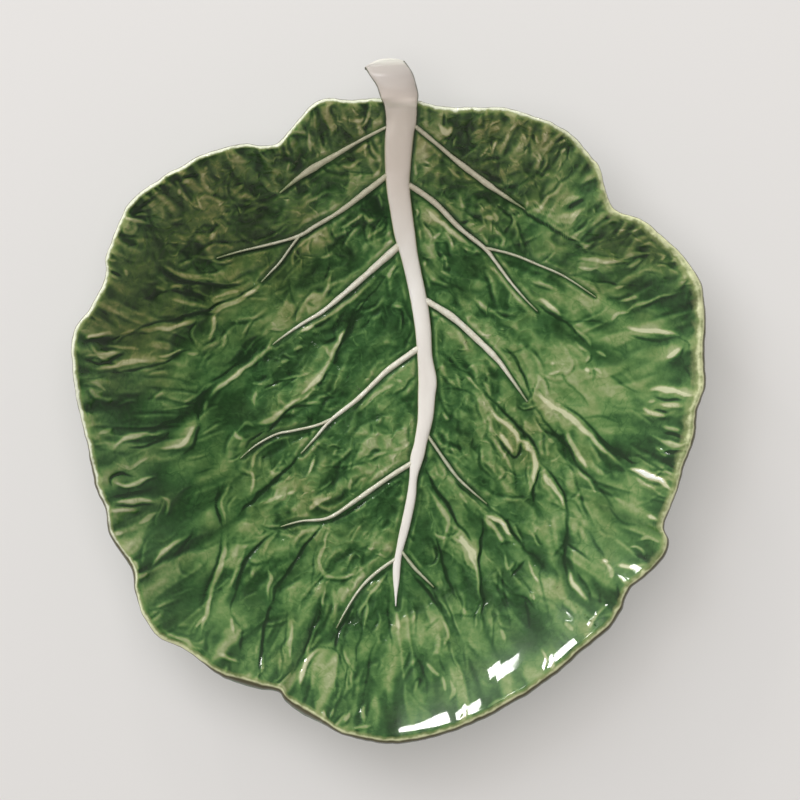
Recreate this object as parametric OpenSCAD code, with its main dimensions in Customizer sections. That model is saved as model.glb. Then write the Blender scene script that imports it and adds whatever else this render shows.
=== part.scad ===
// Leaf shaped serving plate: a lobed, dished cabbage leaf with a raised midrib that runs out over the rim
// as a curled stem, six side veins on its left half, five on its right, three twigs, and a round foot.
// Millimetres. The leaf lies face up with its stem towards +Y and its middle over the origin, and it
// stands on the plane z = 0.

/* [Plate] */
// Overall length, from the leaf's tip to the end of the stem
plate_l = 350; // [310:1:400]
// Overall width across the lobes
leaf_w = 324; // [290:1:370]
// Thickness of the clay wall
wall_t = 5.5; // [4.5:0.1:7]

/* [Dish] */
// Height of the rim above the floor of the dish
rim_rise = 38; // [26:1:50]
// Radius of the flat floor of the dish
well_r = 66; // [50:1:76]
// How far the middle of the dish lies from the middle of the length, away from the stem
dish_back = 9; // [0:1:16]

/* [Rim] */
// Radius of the rounded edge of the rim
lip_r = 2.1; // [1.5:0.1:2.6]
// Width of the band along the rim in which the wall thins down to its edge
thinning_w = 22; // [12:1:30]
// Height of the crimps that run in from the rim
crimp_h = 1.5; // [0:0.1:2.5]

/* [Relief] */
// Depth of the furrows in which the veins lie
furrow_d = 1; // [0:0.1:1.6]
// Half the width of a furrow
furrow_w = 7; // [4:0.5:12]
// Height of the blisters between the veins
blister_h = 0.7; // [0:0.1:1.2]
// Distance from one blister to the next
blister_l = 27; // [20:1:40]

/* [Midrib and stem] */
// Height of the midrib above the leaf
midrib_h = 3.6; // [2.5:0.1:5]
// Thickness of the stem where it leaves the leaf
stem_t = 8; // [6:0.5:10]
// Height to which the stem arches above the rim
stem_arch = 2; // [0:0.5:4]
// How far the end of the stem drops from the top of the arch
stem_drop = 6; // [2:0.5:9]
// How far the end of the stem bulges out
stem_bulge = 3; // [1:0.5:4]

/* [Side veins] */
// Width of a full side vein at its root
vein_w = 3.4; // [2.6:0.1:4.5]
// Height of a full side vein above its furrow
vein_h = 2.4; // [1.8:0.1:3.2]
// How deep midrib and veins are pressed into the leaf
luting_d = 1.2; // [0.8:0.1:1.8]

/* [Foot] */
// Outer radius of the foot ring
foot_r = 72; // [56:1:80]
// Width of the foot ring where it joins the leaf
foot_w = 8; // [6:0.5:12]
// Width of the face that the plate stands on
foot_face_w = 4; // [3:0.5:5]
// Height of the foot ring
foot_h = 6; // [5:0.5:9]
// Rounding of the foot ring's lower edges
foot_round = 1; // [0.5:0.1:1.2]
// Flat margin of the leaf's underside around the foot ring
foot_margin = 2; // [1:0.5:4]

/* [Hidden] */
LEFT_VEINS = ["vein_left_1", "vein_left_2", "vein_left_3", "vein_left_4", "vein_left_5", "vein_left_6"];
RIGHT_VEINS = ["vein_right_1", "vein_right_2", "vein_right_3", "vein_right_4", "vein_right_5"];
TWIGS = ["twig_left_2", "twig_left_4", "twig_right_2"];

half_w = leaf_w / 2;
half_l = plate_l / 2;
dish_mid = [0, -dish_back];
floor_z = foot_h + wall_t;
flat_r = foot_r + foot_margin;

// Where along the wall it is steepest, and how steep it still is at the rim against there
steep_share = 0.94;
ease_share = 0.6;
// Where along the wall the crimps begin, and where they reach their full height
crimp_start_share = 0.35;
crimp_full_share = 0.9;
// Crimps round the whole rim: the coarse ones, the fine ones, and where each set begins
crimp_count = 17;
fine_crimp_count = 29;
crimp_turn = 40;
fine_crimp_turn = 110;
coarse_crimp_share = 0.6;
// How far the blisters' rows sway, in degrees of their own wave
blister_sway = 70;

// Points round the leaf, the rings of its floor, wall and underside, and points on its rounded edge
leaf_turns = 160;
floor_rings = 5;
wall_rings = 11;
under_rings = 7;
lip_steps = 4;
// Points round a vein and round the midrib, and rings to each leg of a route
vein_sides = 8;
midrib_sides = 12;
leg_steps = 2;
rim_steps = 5;
// Quality of the turned foot ring
$fn = 160;

// The leaf's outline, counter-clockwise from the stem: across as a share of half the width, along as a
// share of half the length, and the height of the rim as a share of rim_rise
rim_shares = [
    [-0.033, 0.887, 1.00], [-0.121, 0.879, 1.00], [-0.177, 0.886, 1.01], [-0.214, 0.882, 1.01],
    [-0.253, 0.860, 0.98], [-0.281, 0.830, 0.94], [-0.314, 0.793, 0.90], [-0.354, 0.754, 0.90],
    [-0.406, 0.748, 0.95], [-0.453, 0.752, 0.99], [-0.513, 0.743, 1.02], [-0.593, 0.719, 1.03],
    [-0.653, 0.689, 1.03], [-0.714, 0.656, 1.03], [-0.794, 0.604, 1.02], [-0.826, 0.574, 1.01],
    [-0.846, 0.537, 1.00], [-0.866, 0.489, 0.98], [-0.894, 0.423, 0.95], [-0.894, 0.379, 0.94],
    [-0.910, 0.327, 0.97], [-0.954, 0.260, 1.02], [-0.991, 0.215, 1.05], [-1.000, 0.163, 1.07],
    [-0.998, 0.104, 1.07], [-0.991, 0.052, 1.06], [-0.983, -0.010, 1.04], [-0.959, -0.094, 1.03],
    [-0.942, -0.167, 1.02], [-0.926, -0.249, 1.00], [-0.894, -0.316, 0.98], [-0.884, -0.391, 0.97],
    [-0.838, -0.450, 0.95], [-0.809, -0.495, 0.94], [-0.803, -0.554, 0.96], [-0.774, -0.627, 0.98],
    [-0.726, -0.688, 0.98], [-0.630, -0.732, 0.96], [-0.550, -0.792, 0.95], [-0.469, -0.828, 0.95],
    [-0.406, -0.843, 0.93], [-0.349, -0.849, 0.88], [-0.318, -0.888, 0.87], [-0.230, -0.933, 0.94],
    [-0.132, -0.977, 0.98], [-0.036, -0.996, 1.00], [0.012, -1.000, 1.00], [0.060, -0.996, 1.01],
    [0.157, -0.977, 1.02], [0.252, -0.948, 1.02], [0.349, -0.903, 1.01], [0.445, -0.851, 1.00],
    [0.525, -0.799, 1.00], [0.606, -0.732, 0.99], [0.686, -0.673, 0.97], [0.734, -0.613, 0.94],
    [0.758, -0.554, 0.93], [0.830, -0.495, 0.97], [0.870, -0.450, 0.98], [0.884, -0.406, 0.97],
    [0.870, -0.368, 0.95], [0.887, -0.316, 0.97], [0.918, -0.242, 1.00], [0.934, -0.182, 1.01],
    [0.967, -0.094, 1.03], [0.975, -0.019, 1.04], [0.999, 0.055, 1.06], [0.996, 0.144, 1.06],
    [1.000, 0.218, 1.06], [0.996, 0.295, 1.05], [0.980, 0.352, 1.03], [0.940, 0.409, 1.01],
    [0.892, 0.458, 1.00], [0.843, 0.499, 0.98], [0.795, 0.532, 0.96], [0.724, 0.556, 0.93],
    [0.697, 0.585, 0.92], [0.678, 0.642, 0.94], [0.662, 0.691, 0.96], [0.636, 0.719, 0.98],
    [0.605, 0.752, 1.00], [0.561, 0.791, 1.01], [0.525, 0.809, 1.02], [0.473, 0.828, 1.02],
    [0.406, 0.848, 1.02], [0.349, 0.858, 1.01], [0.252, 0.860, 1.00], [0.157, 0.864, 0.99],
    [0.108, 0.875, 0.99], [0.091, 0.879, 1.00]];

// The midrib from the stem's end to its thin end: left edge across and along, then right edge across and
// along, as shares of half the width and half the length
midrib_shares = [
    [-0.077, 0.974, 0.050, 0.992], [-0.061, 0.949, 0.074, 0.958], [-0.039, 0.917, 0.086, 0.923],
    [-0.028, 0.887, 0.093, 0.892], [-0.016, 0.860, 0.090, 0.866], [-0.011, 0.820, 0.088, 0.817],
    [-0.014, 0.764, 0.078, 0.770], [-0.014, 0.703, 0.070, 0.697], [-0.009, 0.627, 0.066, 0.630],
    [0.003, 0.557, 0.074, 0.560], [0.016, 0.488, 0.084, 0.490], [0.035, 0.429, 0.092, 0.432],
    [0.054, 0.359, 0.108, 0.359], [0.070, 0.284, 0.124, 0.284], [0.082, 0.211, 0.134, 0.211],
    [0.089, 0.135, 0.138, 0.135], [0.092, 0.063, 0.152, 0.063], [0.091, 0.013, 0.147, 0.013],
    [0.090, -0.051, 0.140, -0.051], [0.079, -0.121, 0.121, -0.121], [0.067, -0.164, 0.111, -0.164],
    [0.064, -0.223, 0.091, -0.223], [0.056, -0.278, 0.086, -0.278], [0.044, -0.333, 0.075, -0.333],
    [0.031, -0.389, 0.060, -0.389], [0.020, -0.444, 0.043, -0.444], [0.012, -0.482, 0.037, -0.482],
    [0.012, -0.537, 0.033, -0.537], [0.014, -0.601, 0.028, -0.601]];

// The stem's rows of the table above: how far each lies on the leaf, share of the arch, share of the
// drop, and thickness as a share of stem_t
stem_shares = [
    [0, 1.0, 1.00, 0.45], [0, 1.0, 0.35, 0.85], [0, 1.0, 0.02, 1.00], [0, 0.6, 0.00, 1.00]];
// Height of the midrib as a share of midrib_h, from the rim to its thin end
midrib_h_shares = [1.0, 0.35];

// Routes of the side veins from root to end, as shares of half the width and half the length, with the
// width as a share of vein_w
left_shares = [
    [[0.000, 0.805, 0.50], [-0.082, 0.767, 0.50], [-0.160, 0.726, 0.75], [-0.242, 0.682, 1.05],
        [-0.289, 0.652, 0.70], [-0.346, 0.610, 0.25]],
    [[0.006, 0.671, 0.95], [-0.073, 0.615, 0.90], [-0.154, 0.559, 0.72], [-0.233, 0.515, 0.62],
        [-0.286, 0.486, 0.55], [-0.370, 0.463, 0.42], [-0.474, 0.440, 0.32], [-0.546, 0.420, 0.20]],
    [[0.035, 0.461, 1.15], [-0.033, 0.405, 1.05], [-0.093, 0.356, 0.90], [-0.154, 0.308, 0.75],
        [-0.214, 0.263, 0.60], [-0.274, 0.230, 0.48], [-0.333, 0.193, 0.35], [-0.370, 0.167, 0.20]],
    [[0.108, 0.166, 0.90], [0.000, 0.095, 0.85], [-0.044, 0.057, 0.78], [-0.104, 0.004, 0.70],
        [-0.184, -0.054, 0.55], [-0.233, -0.105, 0.40], [-0.280, -0.153, 0.22]],
    [[0.080, -0.176, 0.75], [-0.007, -0.227, 0.75], [-0.104, -0.290, 0.70], [-0.192, -0.342, 0.50],
        [-0.280, -0.352, 0.35], [-0.344, -0.368, 0.20]],
    [[0.028, -0.458, 0.50], [-0.039, -0.502, 0.50], [-0.088, -0.546, 0.45], [-0.127, -0.598, 0.35],
        [-0.167, -0.665, 0.20]]];
right_shares = [
    [[0.072, 0.811, 0.65], [0.157, 0.748, 0.65], [0.214, 0.704, 0.75], [0.299, 0.645, 0.95],
        [0.358, 0.607, 0.65], [0.431, 0.563, 0.22]],
    [[0.050, 0.643, 0.90], [0.142, 0.585, 0.85], [0.222, 0.511, 0.75], [0.302, 0.451, 0.60],
        [0.335, 0.414, 0.52], [0.383, 0.354, 0.42], [0.431, 0.302, 0.32], [0.471, 0.265, 0.20]],
    [[0.104, 0.304, 1.00], [0.198, 0.250, 1.00], [0.279, 0.183, 0.95], [0.343, 0.124, 0.78],
        [0.390, 0.065, 0.52], [0.439, -0.001, 0.22]],
    [[0.119, -0.095, 0.45], [0.167, -0.160, 0.50], [0.214, -0.220, 0.45], [0.262, -0.263, 0.35],
        [0.311, -0.301, 0.20]],
    [[0.035, -0.435, 0.50], [0.079, -0.488, 0.50], [0.110, -0.517, 0.40], [0.142, -0.546, 0.20]]];
twig_shares = [
    [[-0.280, 0.491, 0.45], [-0.314, 0.450, 0.42], [-0.346, 0.409, 0.36], [-0.377, 0.379, 0.30],
        [-0.406, 0.351, 0.20]],
    [[-0.176, -0.049, 0.50], [-0.233, -0.071, 0.45], [-0.305, -0.086, 0.40], [-0.360, -0.097, 0.36],
        [-0.425, -0.130, 0.28], [-0.472, -0.167, 0.18]],
    [[0.296, 0.453, 0.42], [0.390, 0.432, 0.40], [0.478, 0.399, 0.36], [0.559, 0.365, 0.30],
        [0.655, 0.306, 0.18]]];
// Height that even a thread of a vein keeps, as a share of vein_h
thread_h_share = 0.5;

// A point on the smooth curve through b and c, between them at t from 0 to 1
function curve_at(a, b, c, d, t) =
    b + ((c - a) * t + (2 * a - 5 * b + 4 * c - d) * t * t + (3 * b - a - 3 * c + d) * t * t * t) / 2;

// A list of rows smoothed to that many steps a leg, closed on itself or open
function closed_curve(rows, steps) = let (n = len(rows))
    [for (i = [0 : n - 1], k = [0 : steps - 1])
        curve_at(rows[(i + n - 1) % n], rows[i], rows[(i + 1) % n], rows[(i + 2) % n], k / steps)];
function open_curve(rows, steps) = let (last = len(rows) - 1)
    [for (i = [0 : last - 1], k = [0 : i == last - 1 ? steps : steps - 1])
        curve_at(rows[max(i - 1, 0)], rows[i], rows[i + 1], rows[min(i + 2, last)], k / steps)];

function soft_step(a, b, v) = let (s = max(0, min(1, (v - a) / (b - a)))) s * s * (3 - 2 * s);

// The rim about the middle of the dish, by direction: how far out it is and how high
rim_curve = closed_curve([for (p = rim_shares) [p[0] * half_w, p[1] * half_l, p[2]]], rim_steps);
rim_reach = [for (p = rim_curve, lap = [-360, 0, 360])
    let (q = [p[0], p[1]] - dish_mid) [atan2(q[1], q[0]) + lap, norm(q)]];
rim_lift = [for (p = rim_curve, lap = [-360, 0, 360])
    let (q = [p[0], p[1]] - dish_mid) [atan2(q[1], q[0]) + lap, p[2]]];

// How far along the wall a radius lies, from 0 at the floor's edge to 1 at the rim
function wall_share(r, rim_r) = max(0, min(1, (r - well_r) / (rim_r - well_r)));

// The wall's rise and steepness along that share, before they are scaled to the rim's height
function bend(t) = t < steep_share ? t * t / (2 * steep_share) :
    steep_share / 2 + (t - steep_share)
        - (1 - ease_share) * pow(t - steep_share, 2) / (2 * (1 - steep_share));
function steepness(t) = t < steep_share ? t / steep_share :
    1 - (1 - ease_share) * (t - steep_share) / (1 - steep_share);
function slope_at(t, rim_r, lift) = rim_rise * lift * steepness(t) / bend(1) / (rim_r - well_r);

// The crimps that both faces of the wall share
function crimp(turn, t) = crimp_h * soft_step(crimp_start_share, crimp_full_share, t)
    * (coarse_crimp_share * sin(crimp_count * turn + crimp_turn)
        + (1 - coarse_crimp_share) * sin(fine_crimp_count * turn + fine_crimp_turn));
function wall_z(turn, t, lift) = floor_z + rim_rise * lift * bend(t) / bend(1) + crimp(turn, t);

// All routes in millimetres, the midrib's along its middle, and a point's distance from the nearest
function route_of(shares) = [for (p = shares) [p[0] * half_w, p[1] * half_l, p[2] * vein_w]];
function flat_of(route) = [for (p = route) [p[0], p[1]]];
midrib_line = [for (i = [4 : 4 : len(midrib_shares) - 1]) let (p = midrib_shares[i])
    [(p[0] + p[2]) / 2 * half_w, (p[1] + p[3]) / 2 * half_l]];
all_lines = concat([midrib_line], [for (s = concat(left_shares, right_shares, twig_shares)) flat_of(route_of(s))]);
function leg_gap(p, a, b) = let (v = b - a, s = max(0, min(1, (p - a) * v / (v * v)))) norm(p - a - s * v);
function vein_gap(p) = min([for (line = all_lines, i = [0 : len(line) - 2]) leg_gap(p, line[i], line[i + 1])]);

// Furrows under the veins and blisters between them
function relief(p) = let (gap = vein_gap(p), away = 1 - exp(-pow(gap / furrow_w, 2)))
    furrow_d * (away - 1) + blister_h * away
        * sin(360 * p[0] / blister_l + blister_sway * sin(180 * p[1] / blister_l))
        * sin(360 * p[1] / blister_l + blister_sway * sin(180 * p[0] / blister_l));

// Height of the leaf's face at a place, and of the rim in its direction
function face_z(p) = let (q = p - dish_mid, turn = atan2(q[1], q[0]), rim_r = lookup(turn, rim_reach))
    wall_z(turn, wall_share(norm(q), rim_r), lookup(turn, rim_lift)) + relief(p);

// A closed skin over rings of as many points each, with a point at either end
module skin(rings, first, last) {
    n = len(rings[0]);
    m = len(rings);
    points = concat([first], [for (ring = rings) each ring], [last]);
    strips = [for (k = [0 : m - 2], i = [0 : n - 1]) let (a = 1 + k * n, j = (i + 1) % n)
        each [[a + i, a + n + j, a + j], [a + i, a + n + i, a + n + j]]];
    caps = [for (i = [0 : n - 1]) let (j = (i + 1) % n, z = 1 + (m - 1) * n)
        each [[0, 1 + i, 1 + j], [m * n + 1, z + j, z + i]]];
    polyhedron(points, concat(strips, caps));
}

function place(turn, r) = dish_mid + r * [cos(turn), sin(turn)];
function spot(turn, r, z) = let (p = place(turn, r)) [p[0], p[1], z];

// The leaf: its face from the middle out, round the edge of the rim, and its underside back in
module leaf_dish() {
    step = 360 / leaf_turns;
    turns = [for (i = [leaf_turns : -1 : 1]) i * step];
    reach = [for (turn = turns) lookup(turn, rim_reach)];
    lift = [for (turn = turns) lookup(turn, rim_lift)];
    tilt = [for (i = [0 : leaf_turns - 1]) atan(slope_at(1, reach[i], lift[i]))];
    // The face ends where the rounded edge begins
    edge_r = [for (i = [0 : leaf_turns - 1]) reach[i] - lip_r - lip_r * sin(tilt[i])];
    edge_z = [for (i = [0 : leaf_turns - 1])
        wall_z(turns[i], wall_share(edge_r[i], reach[i]), lift[i])];
    floor_part = [for (k = [1 : floor_rings]) [for (turn = turns)
        let (r = well_r * k / floor_rings) spot(turn, r, face_z(place(turn, r)))]];
    wall_part = [for (k = [1 : wall_rings]) [for (i = [0 : leaf_turns - 1])
        let (r = well_r + (edge_r[i] - well_r) * k / wall_rings, fade = k == wall_rings ? 0 : 1)
        spot(turns[i], r, wall_z(turns[i], wall_share(r, reach[i]), lift[i])
            + fade * relief(place(turns[i], r)))]];
    lip_part = [for (k = [1 : lip_steps]) [for (i = [0 : leaf_turns - 1])
        let (a = 90 + tilt[i] - 180 * k / lip_steps)
        spot(turns[i], reach[i] - lip_r + lip_r * cos(a),
            edge_z[i] - lip_r * cos(tilt[i]) + lip_r * sin(a))]];
    under_part = [for (k = [1 : under_rings]) [for (i = [0 : leaf_turns - 1])
        let (
            out_r = reach[i] - lip_r + lip_r * sin(tilt[i]),
            r = out_r + (flat_r - out_r) * k / under_rings,
            t = wall_share(r, reach[i]),
            thin = soft_step(0, thinning_w, out_r - r),
            thick = (2 * lip_r * (1 - thin) + wall_t * thin) * norm([1, slope_at(t, reach[i], lift[i])]))
        spot(turns[i], r, k == under_rings ? foot_h : wall_z(turns[i], t, lift[i]) - thick)]];
    color("seagreen")
        skin(concat(floor_part, wall_part, lip_part, under_part),
            spot(0, 0, face_z(dish_mid)), spot(0, 0, foot_h));
}

// The foot: a turned ring, narrower and rounded where the plate stands on it
module foot_ring() {
    slant = (foot_w - foot_face_w) / 2;
    color("darkseagreen")
        translate([dish_mid[0], dish_mid[1], 0])
            rotate_extrude()
                translate([foot_r - foot_w, 0])
                    polygon([
                        [0, foot_h], [slant - foot_round, foot_round], [slant, 0],
                        [foot_w - slant, 0], [foot_w - slant + foot_round, foot_round], [foot_w, foot_h]]);
}

// The midrib and the stem: a low rounded strap that follows the leaf and leaves it at the rim
module midrib_stem() {
    legs = len(midrib_shares) - 1;
    stem_legs = len(stem_shares);
    // Each row: both edges, how far it lies on the leaf, height if it is free, up and down from there
    rows = [for (i = [0 : legs])
        let (
            s = midrib_shares[i],
            on = i < stem_legs ? stem_shares[i] : [1, 0, 0, 0],
            h_share = midrib_h_shares[0] + (midrib_h_shares[1] - midrib_h_shares[0]) * i / legs)
        [s[0] * half_w, s[1] * half_l, s[2] * half_w, s[3] * half_l, on[0],
            stem_arch * on[1] - stem_drop * on[2],
            on[0] * midrib_h * h_share + (1 - on[0]) * stem_t * on[3] / 2,
            on[0] * luting_d + (1 - on[0]) * stem_t * on[3] / 2]];
    stem_z = floor_z + rim_rise;
    smooth_rows = open_curve(rows, leg_steps);
    rings = [for (k = [0 : len(smooth_rows) - 1])
        let (
            row = smooth_rows[k],
            left = [row[0], row[1]],
            right = [row[2], row[3]],
            on = max(0, min(1, row[4])),
            along = (left - right) / norm(left - right),
            forward = [along[1], -along[0]],
            bulge = k == 0 ? stem_bulge : 0)
        [for (i = [0 : midrib_sides - 1])
            let (
                a = 360 * i / midrib_sides,
                p = (left + right) / 2 + (right - left) / 2 * cos(a)
                    + forward * bulge * (1 - cos(a) * cos(a)),
                z = on * face_z(p) + (1 - on) * (stem_z + row[5]))
            [p[0], p[1], z + sin(a) * (sin(a) > 0 ? row[6] : row[7])]]];
    color("linen")
        skin(rings, middle_of(rings[0]), middle_of(rings[len(rings) - 1]));
}

function middle_of(ring) = [for (axis = [0 : 2]) sum_of([for (p = ring) p[axis]]) / len(ring)];
function sum_of(list, i = 0) = i < len(list) ? list[i] + sum_of(list, i + 1) : 0;

// A side vein or twig: a rounded ridge along its route, bedded in the leaf
module vein(shares) {
    points = open_curve(route_of(shares), leg_steps);
    last = len(points) - 1;
    rings = [for (k = [0 : last])
        let (
            here = [points[k][0], points[k][1]],
            before = points[max(k - 1, 0)],
            after = points[min(k + 1, last)],
            way = [after[0] - before[0], after[1] - before[1]],
            side = [-way[1], way[0]] / norm(way),
            w = points[k][2],
            h = vein_h * (thread_h_share + (1 - thread_h_share) * w / vein_w))
        [for (i = [0 : vein_sides - 1])
            let (a = 360 * i / vein_sides, p = here + side * cos(a) * w / 2)
            [p[0], p[1], face_z(p) + sin(a) * (sin(a) > 0 ? h : luting_d)]]];
    color("antiquewhite")
        skin(rings, middle_of(rings[0]), middle_of(rings[last]));
}

leaf_dish();
foot_ring();
midrib_stem();
for (i = [0 : len(LEFT_VEINS) - 1])
    vein(left_shares[i]);
for (i = [0 : len(RIGHT_VEINS) - 1])
    vein(right_shares[i]);
for (i = [0 : len(TWIGS) - 1])
    vein(twig_shares[i]);
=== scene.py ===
import math

import bpy
import numpy as np
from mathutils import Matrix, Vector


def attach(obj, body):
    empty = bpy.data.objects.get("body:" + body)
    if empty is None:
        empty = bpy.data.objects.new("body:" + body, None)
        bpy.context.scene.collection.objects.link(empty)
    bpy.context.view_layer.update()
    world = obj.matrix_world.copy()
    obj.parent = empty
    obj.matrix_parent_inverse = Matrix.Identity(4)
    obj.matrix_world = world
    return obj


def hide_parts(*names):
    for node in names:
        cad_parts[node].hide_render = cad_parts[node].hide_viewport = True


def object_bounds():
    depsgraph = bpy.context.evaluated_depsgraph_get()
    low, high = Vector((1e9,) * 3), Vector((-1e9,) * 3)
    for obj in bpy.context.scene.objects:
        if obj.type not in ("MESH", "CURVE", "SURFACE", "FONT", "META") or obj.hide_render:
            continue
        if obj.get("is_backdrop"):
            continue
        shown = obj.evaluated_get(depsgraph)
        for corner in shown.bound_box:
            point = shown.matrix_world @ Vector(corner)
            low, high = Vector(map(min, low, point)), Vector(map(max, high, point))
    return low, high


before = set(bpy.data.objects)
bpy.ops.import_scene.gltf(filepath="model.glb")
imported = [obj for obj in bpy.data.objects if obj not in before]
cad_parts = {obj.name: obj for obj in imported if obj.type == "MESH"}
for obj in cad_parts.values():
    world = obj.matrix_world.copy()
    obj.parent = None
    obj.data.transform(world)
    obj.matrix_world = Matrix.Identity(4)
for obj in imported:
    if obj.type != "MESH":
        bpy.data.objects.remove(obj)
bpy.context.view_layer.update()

# Driving sizes of the plate, in millimetres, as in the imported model
MM = 0.001
PLATE_L = 350
LEAF_W = 324
WALL_T = 5.5
RIM_RISE = 38
WELL_R = 66
DISH_BACK = 9
LIP_R = 2.1
THINNING_W = 22
CRIMP_H = 1.5
FURROW_D = 1
FURROW_W = 7
MIDRIB_H = 3.6
STEM_T = 8
STEM_ARCH = 2
STEM_DROP = 6
STEM_BULGE = 3
VEIN_W = 3.4
VEIN_H = 2.4
LUTING_D = 1.2
FOOT_R = 72
FOOT_W = 8
FOOT_FACE_W = 4
FOOT_H = 6
FOOT_ROUND = 1
FOOT_MARGIN = 2

HALF_W = LEAF_W / 2
HALF_L = PLATE_L / 2
DISH_MID = np.array([0.0, -DISH_BACK])
FLOOR_Z = FOOT_H + WALL_T
FLAT_R = FOOT_R + FOOT_MARGIN
STEEP_SHARE = 0.94
EASE_SHARE = 0.6
CRIMP_START_SHARE = 0.35
CRIMP_FULL_SHARE = 0.9
CRIMP_COUNT = 17
FINE_CRIMP_COUNT = 29
CRIMP_TURN = math.radians(40)
FINE_CRIMP_TURN = math.radians(110)
COARSE_CRIMP_SHARE = 0.6

# The photograph's scale at the rim, and its pixel over the plate's origin
PX_MM = 0.5095
PHOTO_MID = np.array([389.0, 401.5])
FRAME_PX = 800

# How finely the pieces are laid out: squares along each side of the leaf's grid, rings and steps
GRID = 400
LIP_STEPS = 5
UNDER_RINGS = 7
RIM_STEPS = 12
VEIN_STEPS = 10
VEIN_SIDES = 16
MIDRIB_STEPS = 8
MIDRIB_SIDES = 32
STEM_CAP_RINGS = 6
FOOT_TURNS = 240
FOOT_ROUND_STEPS = 5

# The noise: its seed, the side of its lattice, how far apart its shifts are read, the factors that bring it
# to about -1 to 1, and how far a strand's bumps spread
SEED = 7
LATTICE_SIDE = 256
SHIFT_ACROSS = 31.7
SHIFT_ALONG = 17.3
NOISE_GAIN = 1.7
STRAND_GAIN = 1.2
STRAND_SPREAD = 0.36

# A gap in mm that is wider than any on the leaf
FAR = 99.0

# The ring on which the noise around the rim is read, and how far inside the rim's line the wall ends
RING_R = 150
RIM_INSET = 0.3

# The strokes on the leaf's face: half their width and their height in mm, negative for a groove
BOLD_W, BOLD_H = 1.5, 0.95
SOFT_W, SOFT_H = 1.1, 0.55
DEEP_W, DEEP_H = 0.8, -0.16
FINE_W, FINE_H = 0.65, -0.12
# The painted glints, which stand for reflections on crests: half their width in mm
GLINT_W = 1.1

# How much paler the glaze is on the strokes, or darker where negative, also around and below them. Some are
# painted
# light and shade: painted highlights on the glints and towards the upper left of the bold crests, painted
# shade below and to the right of the crests and of the veins, and painted shade mixed with pooled glaze
# beside the bold grooves
BOLD_TONE = 0.40
CREST_LIGHT_TONE = 0.08
SOFT_TONE = 0.32
GLINT_TONE = 0.75
DEEP_TONE = -0.27
POOL_AND_SHADE_TONE = -0.17
FINE_TONE = -0.25
CREST_SHADE_TONE = -0.20
VEIN_SHADE_TONE = -0.20

# The humps and folds between the strokes: how large they are and how high or deep they are, in mm
HUMP_L, HUMP_H = 8.8, 0.40
FOLD_L, FOLD_H = 4.6, 0.30
SPECK_L, SPECK_H = 2.8, 0.20
SWELL_L, SWELL_H = 6.2, 0.25
RAY_L, RAY_H = 9.5, 0.35
WRINKLE_L, WRINKLE_H = 5.6, 1.1
HUMP_FOLD_H, FOLD_FOLD_H = 0.25, 0.20
LONG_CREST_H, LONG_GROOVE_H = 0.45, 0.30
SHORT_CREST_H, SHORT_GROOVE_H = 0.30, 0.22
VEIN_LIP_H = 0.3
CREVICE_D = 0.8 * FURROW_D

# The glaze's tone, from 0 where it pools to 1 where it is thin: its middle, the tones past which it is held
# back, how much sooner towards the leaf's tip, and how strongly it follows what stands proud of its
# surroundings, each with the number of passes that blur them
TONE_MID = 0.42
TONE_TOP = 0.60
TONE_LOW = 0.20
TONE_LOW_RAISED = 0.12
PULLS = ((0.42, 4), (0.22, 16), (0.10, 70))
LINE_PULL, LINE_PASSES = 0.22, 24

# The part of the stem with painted light and shade, in metres along the plate: where it starts and how long
# it is
STEM_FROM = 0.146
STEM_PAINTED_SHADE_L = 0.028

# The scene around the plate, in metres: the floor and the share of it that glows with its own colour as
# painted light, how far off the windows are, the height of the spots that mirror them, and the camera's
# height
FLOOR_SIZE = 14.0
FLOOR_GLOW_SHARE = 0.38
WINDOW_DISTANCE = 2.2
MIRROR_HEIGHT = 0.04
CAMERA_HEIGHT = 4.0

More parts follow.
